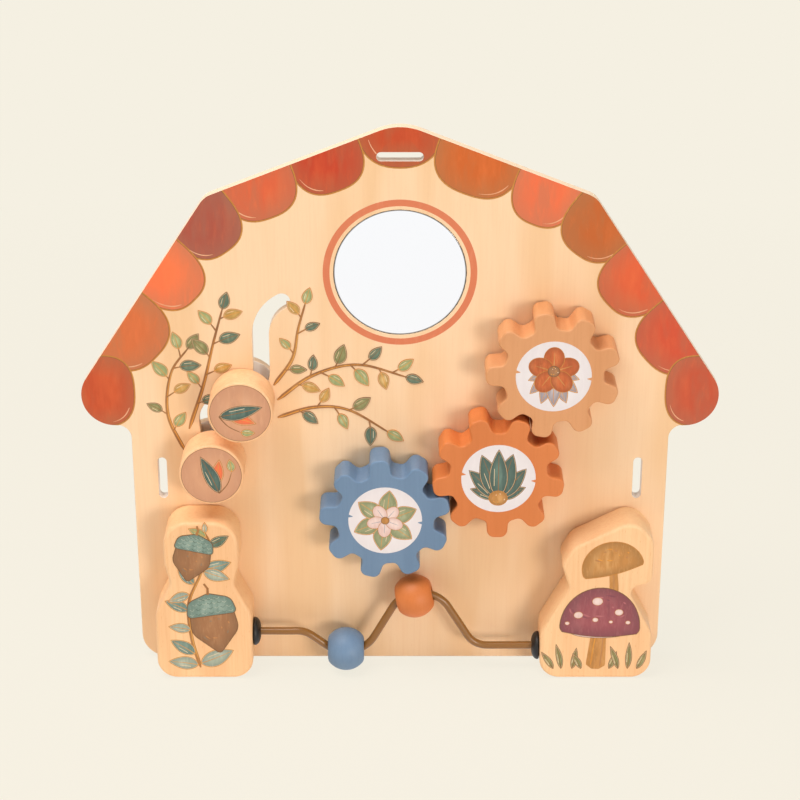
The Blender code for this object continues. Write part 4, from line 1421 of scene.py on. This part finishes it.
WARM_BROWN = ink("warm brown stroke", "#b9804c", "#a8703d", "#cc9a68")
DUSK = ink("dusky stroke", "#8f7458", "#7d6650", "#a08a70")
STRAW = ink("ochre brown", "#c68b47", "#a37339", "#dfae6f", cloud_mm=6)


@dataclass
class GearTrain:
    """The three wheels in mesh, and what is printed on them."""

    def orange(self) -> None:
        """Build the orange wheel, with a fan of deep teal leaves over an ochre fruit."""
        wheel = Wheel("orange", ORANGE_STAIN, math.radians(-90.3))
        sheet = wheel.build()
        foot = wheel.centre + mm(0, -13.5)
        for turn, size in ((158, 19), (22, 19), (132, 27), (48, 27), (108, 32), (72, 32)):
            sheet.leaf(foot, math.radians(turn), size * MM, size * 0.42 * MM, DEEP_TEAL, 0.03)
        sheet.leaf(foot, math.radians(90), 34 * MM, 12 * MM, DEEP_TEAL, 0.0)
        sheet.lay(oval(foot, 12 * MM, 10.5 * MM), STRAW, [(GOLD_LINE, 0.4 * MM)])
        sheet.dab(foot, 9 * MM, 8 * MM, 6, GOLD_LINE, PALE_LINE, broad=0.9 * MM)
        sheet.finish()

    def blue(self) -> None:
        """Build the blue wheel, with grey-sage leaves round a pale blossom."""
        wheel = Wheel("blue", BLUE_STAIN, math.radians(695.3))
        sheet = wheel.build()
        for turn in (20, 80, 140, 200, 260, 320):
            foot = wheel.centre + polar(4 * MM, math.radians(turn))
            sheet.leaf(foot, math.radians(turn), 17.5 * MM, 12 * MM, SAGE_GREY, 0.05)
        for turn in (50, 122, 194, 266, 338):
            petal = wheel.centre + polar(6.2 * MM, math.radians(turn))
            sheet.lay(oval(petal, 11.5 * MM, 8.6 * MM, math.radians(turn)), BLOSSOM, [(GOLD_LINE, 0.3 * MM)])
            vein = [wheel.centre + polar(reach * MM, math.radians(turn)) for reach in (3, 6, 9)]
            sheet.stroke(vein, 0.5 * MM, 0.25 * MM, LILAC)
        sheet.lay(oval(wheel.centre, 5.4 * MM, 5.4 * MM), STRAW, [(BROWN_LINE, 0.3 * MM)])
        sheet.finish()

    def tan(self) -> None:
        """Build the tan wheel, with a rust flower over grey-lilac leaves."""
        wheel = Wheel("tan", TAN_STAIN, math.radians(420.1))
        sheet = wheel.build()
        heart = wheel.centre + mm(0, 3.5)
        for turn, size in ((200, 17), (340, 17), (225, 21), (315, 21), (250, 23), (290, 23), (270, 24)):
            sheet.leaf(heart, math.radians(turn), size * MM, size * 0.42 * MM, LILAC, 0.02)
        for turn in range(18, 378, 72):
            petal = heart + polar(8.4 * MM, math.radians(turn))
            sheet.lay(oval(petal, 15.5 * MM, 13 * MM, math.radians(turn)), RUST, [(GOLD_LINE, 0.35 * MM)])
            vein = [heart + polar(reach * MM, math.radians(turn)) for reach in (4, 8, 12)]
            sheet.stroke(vein, 0.7 * MM, 0.3 * MM, STRAW)
        sheet.lay(oval(heart, 7.5 * MM, 7.5 * MM), FRUIT, [(BROWN_LINE, 0.35 * MM)])
        sheet.dab(heart, 6 * MM, 6 * MM, 7, GOLD_LINE, PALE_LINE, broad=0.8 * MM)
        sheet.finish()

    def build(self) -> None:
        """Build the three wheels."""
        self.orange()
        self.blue()
        self.tan()


@dataclass
class Button:
    """A round wooden button that rides in the winding slot, with its keeper behind the panel."""

    name: str
    leaf_turn: float
    diameter: float = 40.6 * MM
    edge: float = 1.0 * MM
    keeper_diameter: float = 45.6 * MM

    @property
    def centre(self) -> Vector:
        """The button's axis in the X-Z plane."""
        return at_joint(f"{self.name}_button_spin")

    def build(self) -> None:
        """Build the disc and the keeper, and print a stalk and its leaves on the disc."""
        node = f"{self.name}_button"
        low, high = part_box(node)
        disc = turned(node, disc_profile(self.diameter, low.y, high.y, self.edge))
        stand_in(disc, node, BUTTON_BEECH, self.centre)
        low_keeper, high_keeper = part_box(f"{node}_keeper")
        ring = disc_profile(self.keeper_diameter, low_keeper.y, high_keeper.y, 0.9 * MM, 10.3 * MM)
        stand_in(turned("keeper", ring, ring=True), f"{node}_keeper", KEEPER_PLY, self.centre)
        sheet = Print(f"{node}_print", low.y, body_with(node), SLOTS[node])
        ground = self.diameter - 2.6 * MM
        sheet.lay(oval(self.centre, ground, ground), BUTTON_GROUND, [(STEM_INK, 0.3 * MM)])
        turn = self.leaf_turn
        foot = self.centre - polar(13.5 * MM, turn)
        bud = foot + polar(17 * MM, turn - 0.85)
        stalk = smooth_path([foot, (foot + bud) / 2 + polar(1.5 * MM, turn - 2.4), bud])
        sheet.stroke(stalk, 0.8 * MM, 0.5 * MM, STEM_INK)
        sheet.leaf(foot + polar(6 * MM, turn - 0.1), turn - 0.42, 18 * MM, 8 * MM, TilePaint.CORAL.value, -0.05)
        sheet.leaf(foot, turn, 28 * MM, 9.5 * MM, DEEP_TEAL, 0.06)
        sheet.leaf(bud, turn - 0.3, 9 * MM, 5.6 * MM, LeafPaint.SAGE.value)
        sheet.finish()


@dataclass
class PlayBlock:
    """A thick block at the foot of the panel, with rounded rims and a print on its face."""

    side: str
    corners: Corners
    edge: float = 2.2 * MM

    @property
    def node(self) -> str:
        """The block's CAD node."""
        return f"{self.side}_block"

    def at(self, x: float, z: float) -> Vector:
        """Return the point this many millimetres right of the block's middle and above the floor."""
        return Vector((box_centre(self.node).x + x * MM, z * MM))

    def screw_places(self) -> list[Vector]:
        """Return where the block's two screws pass through the panel."""
        return [box_centre(f"{self.node}_{level}_screw") for level in ("lower", "upper")]

    def blank(self) -> Print:
        """Build the block.

        Returns:
            The empty print on its face.
        """
        low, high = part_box(self.node)
        outline = rounded([(x * MM, z * MM, radius * MM) for x, z, radius in self.corners])
        stand_in(plate(self.node, outline, low.y, high.y, self.edge, 6), self.node, BEECH, self.at(0, 0))
        return Print(f"{self.node}_print", low.y, body_with(self.node), SLOTS[self.node])


@dataclass
class Acorn:
    """A printed acorn, with a russet nut hanging from a teal cup."""

    place: Vector
    lean: float
    scale: float

    def outline(self, corners: Corners) -> list[Vector]:
        """Return a closed outline in the acorn's own place and lean.

        Args:
            corners: The (x, z, radius) corners, in millimetres.

        Returns:
            The outline's points.
        """
        leaning = Matrix.Rotation(self.lean, 2)
        size = self.scale * MM
        scaled = [(x * size, z * size, radius * size) for x, z, radius in corners]
        return [self.place + leaning @ point for point in rounded(scaled)]

    def print_on(self, sheet: Print) -> None:
        """Lay the nut, its brush marks, the cup and the cup's scales.

        Args:
            sheet: The print that gets them.
        """
        size = self.scale * MM
        leaning = Matrix.Rotation(self.lean, 2)
        nut = mirrored([(0, -17, 2.2), (12.6, -3, 9), (11.2, 12, 3)])
        sheet.lay(self.outline(nut), FRUIT, [(BROWN_LINE, 0.45 * MM)])
        sheet.dab(self.place + leaning @ Vector((0, -1.5 * size)), 17 * size, 18 * size, 9, WARM_BROWN, DUSK)
        cup = mirrored([(13.4, 6, 2.6), (11.5, 15.5, 6), (0, 19.5, 5)])
        sheet.lay(self.outline(cup), MUTED_TEAL, [(BROWN_LINE, 0.45 * MM)])
        for row, reach in ((8.2, 10.8), (11.0, 10.2), (13.8, 8.2), (16.4, 4.6)):
            for column in range(-3, 4):
                x = column * reach / 3.2
                spot = [Vector((x - 1.2, row)), Vector((x, row - 0.9)), Vector((x + 1.2, row))]
                scale = [self.place + leaning @ (point * size) for point in spot]
                sheet.stroke(scale, 0.4 * MM, 0.3 * MM, STONE if column % 2 else DEEP_TEAL)
        stalk = [Vector((0, 18.5)), Vector((0.6, 22)), Vector((-0.8, 25))]
        sheet.stroke([self.place + leaning @ (point * size) for point in stalk], 1.6 * MM, 1.2 * MM, STEM_INK)


@dataclass
class AcornBlock(PlayBlock):
    """The left block: a soft pear in outline, printed with two acorns among teal leaves."""

    side: str = "left"
    corners: Corners = field(
        default_factory=lambda: mirrored(
            [(31, 0, 13), (31, 47, 16), (20, 69, 12), (23.75, 83, 12), (23.75, 113, 16)]
        )
    )

    def build(self) -> None:
        """Build the block and print its twig of acorns."""
        sheet = self.blank()
        at = self.at
        stem = smooth_path([at(-3, 8), at(-8, 30), at(-9, 55), at(-1, 76), at(6, 96), at(3, 107)])
        sheet.stroke(stem, 2.6 * MM, 1.3 * MM, STEM_INK)
        sheet.stroke([point + Vector((0.5 * MM, 0)) for point in stem[4:-6]], 0.6 * MM, 0.4 * MM, GOLD_LINE)
        for x, z, turn, size, paint in (
            (-4, 10, 168, 20, STONE), (-3, 11, 20, 24, STONE), (-6, 18, 142, 19, MUTED_TEAL),
            (-8, 36, 166, 15, STONE), (-9, 50, 150, 17, MUTED_TEAL), (-8, 62, 196, 15, STONE),
            (-5, 69, 128, 15, MUTED_TEAL),
            (1, 80, 12, 19, MUTED_TEAL), (1, 79, -24, 18, STONE), (5, 97, 24, 15, LeafPaint.TEAL.value),
            (4, 103, 146, 13, LeafPaint.SAGE.value), (3, 106, 84, 8, STONE),
        ):
            sheet.leaf(at(x, z), math.radians(turn), size * MM, size * 0.5 * MM, paint)
        Acorn(at(7, 39), math.radians(9), 1.25).print_on(sheet)
        Acorn(at(-6, 87), math.radians(-12), 0.98).print_on(sheet)
        sheet.finish()


@dataclass
class ToadstoolBlock(PlayBlock):
    """The right block: a toadstool with a leaning cap, printed with toadstools and grass."""

    side: str = "right"
    corners: Corners = field(
        default_factory=lambda: [
            (36, 0, 13), (36, 33, 12), (18.5, 66, 6), (34.6, 70, 6), (34.6, 100, 13), (21.6, 115, 13),
            (-16.9, 95, 13), (-23.4, 82, 6), (-18.5, 66, 6), (-36, 33, 12), (-36, 0, 13),
        ]
    )

    def build(self) -> None:
        """Build the block and print its toadstools."""
        sheet = self.blank()
        at = self.at
        for x, turn, size in (
            (-27, 118, 15), (-22, 97, 19), (-15, 76, 16), (-9, 112, 13), (9, 66, 14), (15, 104, 18), (21, 84, 20),
            (27, 62, 15),
        ):
            sheet.leaf(at(x, 7), math.radians(turn), size * MM, 4.4 * MM, LeafPaint.OLIVE.value)
        for points, first_mm, last_mm, used in (
            (((0, 7), (1, 24), (2, 42)), 13, 9, STRAW),
            (((-3, 10), (-1.5, 24), (0, 34)), 1.2, 0.7, GOLD_LINE),
            (((3, 9), (4, 22), (4.5, 34)), 1.0, 0.6, WARM_BROWN),
            (((6, 44), (10, 62), (9, 82)), 7, 5, STRAW),
            (((8, 60), (10, 68), (9, 78)), 0.8, 0.5, WARM_BROWN),
        ):
            sheet.stroke(smooth_path([at(*point) for point in points]), first_mm * MM, last_mm * MM, used)
        sheet.lay(self.cap(9, 81, 40, 19, 16), STRAW, [(GOLD_LINE, 0.45 * MM)])
        sheet.dab(at(7, 90), 27 * MM, 11 * MM, 9, GOLD_LINE, WARM_BROWN)
        sheet.lay(oval(at(2, 34.5), 38 * MM, 9 * MM), BLOSSOM, [(BROWN_LINE, 0.3 * MM)])
        for rib in range(-5, 6):
            gill = [at(2 + 2.2 * rib, 35), at(2 + 3.2 * rib, 31.2 + 0.07 * rib * rib)]
            sheet.stroke(gill, 0.5 * MM, 0.3 * MM, STEM_INK)
        sheet.lay(self.cap(2, 38, 52, 29, -2), PLUM, [(BROWN_LINE, 0.45 * MM)])
        sheet.dab(at(2, 52), 42 * MM, 21 * MM, 13, ROSE, DUSKY_PLUM)
        for x, z, size in (
            (-12, 47, 6), (0, 57, 7), (14, 49, 5.6), (-1, 43.5, 4), (20, 41.5, 3.4), (-19, 41, 3.2), (9, 42, 2.8),
        ):
            sheet.lay(oval(at(x, z), size * MM, size * 0.85 * MM), BLOSSOM, [(GOLD_LINE, 0.25 * MM)])
        sheet.finish()

    def cap(self, x: float, z: float, width: float, height: float, turn: float) -> list[Vector]:
        """Return a toadstool cap's outline: a dome over a sagging hem.

        Args:
            x: Its middle across, in millimetres.
            z: Its middle upwards, in millimetres.
            width: Its full width, in millimetres.
            height: The dome's height, in millimetres.
            turn: Its lean, counter-clockwise, in degrees.

        Returns:
            The outline's points.
        """
        leaning = Matrix.Rotation(math.radians(turn), 2)
        dome = []
        for step in range(31):
            spot = polar(1, math.pi * (1.24 * step / 30 - 0.12))
            dome.append(Vector((spot.x * width / 2, spot.y * height * (0.4 if spot.y < 0 else 1))))
        hem = dome[-1]
        under = []
        for step in range(1, 12):
            sag = 1 + 0.7 * math.sin(math.pi * step / 12)
            under.append(Vector((hem.x * (1 - step / 6), hem.y * sag)))
        return [self.at(x, z) + leaning @ point * MM for point in dome + under]


@dataclass
class BeadRun:
    """The bent wire with its two beads and the rubber grommets at its ends."""

    wire_diameter: float = 5 * MM
    left_height: float = 28.2 * MM
    right_height: float = 17.6 * MM
    bead_bend: float = 20.9 * MM
    bead_diameter: float = 28 * MM
    bead_length: float = 23.4 * MM
    bead_edge: float = 0.9 * MM
    bead_play: float = 0.4 * MM
    block_bend: float = 15 * MM
    grommet_bore: float = 2.8 * MM
    grommet_stem: tuple[float, float] = (5 * MM, 8 * MM)
    grommet_rim: float = 9.2 * MM
    grommet_dome: float = 4.6 * MM

    def build_wire(self) -> None:
        """Build the wire as one round bar along its straights and bends."""
        low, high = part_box("bead_wire")
        y = (low.y + high.y) / 2
        corners = [
            Vector((low.x, self.left_height)),
            mm(-61.4, 28.2),
            mm(-28.8, 2.4),
            mm(12.6, 77.5),
            mm(48.3, 17.6),
            Vector((high.x, self.right_height)),
        ]
        path = [corners[0]]
        for index, radius in enumerate((self.block_bend, self.bead_bend, self.bead_bend, self.block_bend)):
            path += bend(*corners[index : index + 3], radius)
        path.append(corners[-1])
        curve = bpy.data.curves.new("wire", "CURVE")
        curve.dimensions = "3D"
        curve.bevel_depth = self.wire_diameter / 2
        curve.bevel_resolution = 6
        curve.use_fill_caps = True
        spline = curve.splines.new("POLY")
        spline.points.add(len(path) - 1)
        for point, spot in zip(spline.points, path):
            point.co = (spot.x, y, spot.y, 1)
        rod = bpy.data.objects.new("wire", curve)
        mesh = bpy.data.meshes.new_from_object(rod)
        bpy.data.objects.remove(rod)
        mesh.shade_smooth()
        mesh.set_sharp_from_angle(angle=math.radians(40))
        stand_in(mesh, "bead_wire", WIRE_COAT)

    def build_bead(self, tone: str, below: bool, tilt: float, stain: Wood) -> None:
        """Build a bead where it sits on the wire's bend.

        Args:
            tone: The bead's colour, which names its node and its joint.
            below: Whether it sits in a trough, below its bend's centre.
            tilt: How far it stands from the bend's lowest or highest point.
            stain: Its finish.
        """
        half = self.bead_length / 2
        sag = self.bead_bend - math.sqrt(self.bead_bend**2 - half**2)
        slope = math.asin(half / self.bead_bend)
        bore = sag / 2 + self.wire_diameter / 2 / math.cos(slope) + self.bead_play
        ball = self.bead_diameter / 2
        last = math.asin((half - self.bead_edge * 0.6) / ball)
        arc = [last * (2 * step / 24 - 1) for step in range(25)]
        flat = ball * math.cos(math.asin(half / ball)) - self.bead_edge
        round_side = [(ball * math.cos(a), ball * math.sin(a)) for a in arc]
        profile = [(bore, -half), (flat, -half), *round_side, (flat, half), (bore, half)]
        mesh = turned(tone, profile, ring=True)
        mesh.transform(Matrix.Rotation(math.pi / 2, 4, "Z"))
        mesh.transform(Matrix.Translation((0, 0, (-1 if below else 1) * (self.bead_bend - sag / 2))))
        mesh.transform(Matrix.Rotation(-tilt, 4, "Y"))
        mesh.transform(Matrix.Translation(JOINTS[f"{tone}_bead_travel"]["pos_m"]))
        stand_in(mesh, f"{tone}_bead", stain)

    def build_grommet(self, side: str, facing: int, height: float) -> None:
        """Build the domed rubber grommet at one end of the wire.

        Args:
            side: left or right.
            facing: 1 where its dome faces +X, and -1 where it faces -X.
            height: The wire's height there.
        """
        low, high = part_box(f"{side}_grommet")
        bore, rim, dome = self.grommet_bore, self.grommet_rim, self.grommet_dome
        stem, inside = self.grommet_stem
        arc = [math.pi / 2 * step / 14 for step in range(15)]
        crown = [(bore + (rim - bore) * math.cos(a), SEAT_GAP + dome * (0.15 + 0.85 * math.sin(a))) for a in arc]
        profile = [(bore, -inside), (stem, -inside), (stem, SEAT_GAP), (rim - 0.3 * MM, SEAT_GAP), *crown]
        mesh = turned(side, profile, ring=True)
        mesh.transform(Matrix.Rotation(-facing * math.pi / 2, 4, "Z"))
        wall = high.x - dome - SEAT_GAP if facing > 0 else low.x + dome + SEAT_GAP
        mesh.transform(Matrix.Translation((wall, (low.y + high.y) / 2, height)))
        stand_in(mesh, f"{side}_grommet", RUBBER)

    def build(self) -> None:
        """Build the wire, the beads and the grommets."""
        self.build_wire()
        self.build_bead("blue", True, 0.0, BLUE_STAIN)
        self.build_bead("orange", False, math.radians(12), ORANGE_STAIN)
        self.build_grommet("left", 1, self.left_height)
        self.build_grommet("right", -1, self.right_height)


@dataclass
class Fixings:
    """The screws, washers and pegs behind the panel."""

    small_radius: float = 4 * MM
    small_screw: tuple[float, float] = (2.2 * MM, 1.8 * MM)
    wood_screw: tuple[float, float] = (2.4 * MM, 2.1 * MM)
    thread_turns: int = 9
    recess_turn: float = math.radians(17.5)
    washer_bore: float = 4.2 * MM

    def build_screw(self, node: str) -> None:
        """Build one pan-head screw with a cross recess, in the place of its CAD node.

        Args:
            node: The screw's CAD node.
        """
        low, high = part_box(node)
        radius = (high.x - low.x) / 2
        head, shank = self.small_screw if radius < self.small_radius else self.wood_screw
        under = high.y - head
        crown = [math.pi / 2 * step / 6 for step in range(7)]
        dome = [(radius * (0.35 + 0.65 * math.cos(a)), under + head * (0.45 + 0.55 * math.sin(a))) for a in crown]
        threads = []
        length = under - low.y
        for turn in range(self.thread_turns):
            y = low.y + length * (0.12 + 0.84 * turn / self.thread_turns)
            threads += [(shank * 0.8, y), (shank, y + length * 0.03), (shank * 0.8, y + length * 0.06)]
        profile = [(0, low.y), *threads, (shank, under), (radius, under), *dome, (0, high.y)]
        mesh = turned(node, profile, steps=32)
        recess = []
        for turn, depth in ((self.recess_turn, 0.55), (self.recess_turn + math.pi / 2, 0.56)):
            outline = capsule(radius * 1.1, radius * 0.26, Vector((0, 0)))
            arm = plate("recess", outline, high.y - head * depth, high.y + MM)
            arm.transform(Matrix.Rotation(turn, 4, "Y"))
            recess.append(arm)
        stand_in(cut(mesh, recess), node, ZINC, box_centre(node))

    def build_washer(self, node: str) -> None:
        """Build one washer with eased rims, in the place of its CAD node.

        Args:
            node: The washer's CAD node.
        """
        low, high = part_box(node)
        profile = disc_profile(high.x - low.x, low.y, high.y, 0.3 * MM, self.washer_bore, 2)
        stand_in(turned(node, profile, ring=True, steps=48), node, ZINC, box_centre(node))

    def build(self) -> None:
        """Build the screws and washers, and finish the pegs and spacers."""
        for node, shown in frame["nodes"].items():
            if node.endswith("_screw"):
                self.build_screw(node)
            elif node.endswith("_washer"):
                self.build_washer(node)
            elif node.endswith(("_axle", "_spindle", "_spacer")):
                shown.data.materials.clear()
                shown.data.materials.append((NYLON if node.endswith("_spacer") else BEECH).material())


@dataclass
class Studio:
    """The pale floor, the soft lights and the camera."""

    paper: str = "#f5f0e2"
    lit_paper: str = "#f4efe2"
    reflected: str = "#fdfeff"
    room: str = "#fffaf6"
    room_light: float = 0.32
    floor_reach: float = 6.0
    plain_share: float = 0.91
    aim: tuple[float, float, float] = (0, 0, 0.18)
    lens_mm: float = 97.5
    camera_distance: float = 1241.8 * MM
    camera_height: float = 738.8 * MM
    look_down: float = math.radians(24)

    def seen_rays(self, nodes: Nodes) -> tuple[Socket, Socket]:
        """Tell the rays that see the room from those that only carry its light.

        Args:
            nodes: The nodes of the world or of a material.

        Returns:
            A socket that is 1 for camera, glossy and transmission rays, and one for glossy rays alone.
        """
        rays = nodes.add("LightPath").outputs
        seen = nodes.math("MAXIMUM", rays["Is Camera Ray"], rays["Is Glossy Ray"])
        return nodes.math("MAXIMUM", seen, rays["Is Transmission Ray"]), rays["Is Glossy Ray"]

    def build_floor(self) -> None:
        """Build a floor that shows as the paper's own colour and keeps the object's shadow."""
        shape = bmesh.new()
        below = Matrix.Translation((0, 0, -0.2 * MM))
        bmesh.ops.create_grid(shape, x_segments=1, y_segments=1, size=self.floor_reach, matrix=below)
        mesh = as_mesh(shape, "floor")
        link("floor", mesh)
        material = bpy.data.materials.new("paper floor")
        material.use_nodes = True
        material.node_tree.nodes.clear()
        nodes = Nodes(material.node_tree)
        seen, glossy = self.seen_rays(nodes)
        lit = nodes.add("BsdfDiffuse", {"Color": linear(self.lit_paper)}).outputs[0]
        colour = nodes.blend(glossy, self.paper, self.reflected)
        plain = nodes.add("Emission", {"Color": colour, "Strength": 1.0}).outputs[0]
        away = nodes.add("VectorMath", {0: nodes.place()}, operation="LENGTH").outputs["Value"]
        share = nodes.math("MULTIPLY", seen, nodes.remap(away, 0.45, 1.0, self.plain_share, 1.0))
        nodes.add("OutputMaterial", {"Surface": nodes.add("MixShader", {0: share, 1: lit, 2: plain}).outputs[0]})
        mesh.materials.append(material)

    def build_world(self) -> None:
        """Fill the room with even pale light, seen as paper beyond the floor."""
        world = bpy.data.worlds.new("studio")
        world.use_nodes = True
        bpy.context.scene.world = world
        nodes = Nodes(world.node_tree)
        seen, _ = self.seen_rays(nodes)
        back = world.node_tree.nodes["Background"].inputs
        world.node_tree.links.new(nodes.blend(seen, self.room, self.paper), back["Color"])
        world.node_tree.links.new(nodes.remap(seen, low=self.room_light, high=1.0), back["Strength"])

    def add_light(self, name: str, place: tuple[float, float, float], size: float, watts: float, colour: str) -> None:
        """Add a square softbox that faces the board's middle.

        Args:
            name: The lamp's name.
            place: Where it hangs.
            size: The length of its side.
            watts: Its power.
            colour: Its sRGB colour.
        """
        data = bpy.data.lights.new(name, "AREA")
        data.size = size
        data.energy = watts
        data.color = linear(colour)[:3]
        light = link(name, data)
        light.location = place
        aim = Vector(self.aim) - Vector(place)
        light.rotation_euler = aim.to_track_quat("-Z", "Y").to_euler()

    def build_camera(self) -> None:
        """Set the camera where the photograph was taken from."""
        data = bpy.data.cameras.new("camera")
        data.lens = self.lens_mm
        data.sensor_width = 36
        camera = link("camera", data)
        camera.location = (0, FACE_Y - self.camera_distance, self.camera_height)
        camera.rotation_euler = (math.pi / 2 - self.look_down, 0, 0)
        bpy.context.scene.camera = camera

    def build(self) -> None:
        """Build the whole studio."""
        self.build_floor()
        self.build_world()
        self.add_light("overhead softbox", place=(-0.6, -0.3, 1.85), size=1.2, watts=32, colour="#fff8f5")
        self.add_light("low front softbox", place=(1.85, -2.8, 0.35), size=1.0, watts=48, colour="#fff5ee")
        self.build_camera()
        bpy.context.scene.view_settings.view_transform = "Standard"


def main() -> None:
    """Dress the whole board and set the studio."""
    logging.basicConfig(level=logging.INFO, format="%(name)s: %(message)s")
    blocks = [AcornBlock(), ToadstoolBlock()]
    for block in blocks:
        block.build()
    House().build([place for block in blocks for place in block.screw_places()])
    GearTrain().build()
    Button("upper", math.radians(10)).build()
    Button("lower", math.radians(110)).build()
    BeadRun().build()
    Fixings().build()
    Studio().build()


if __name__ == "__main__":
    main()
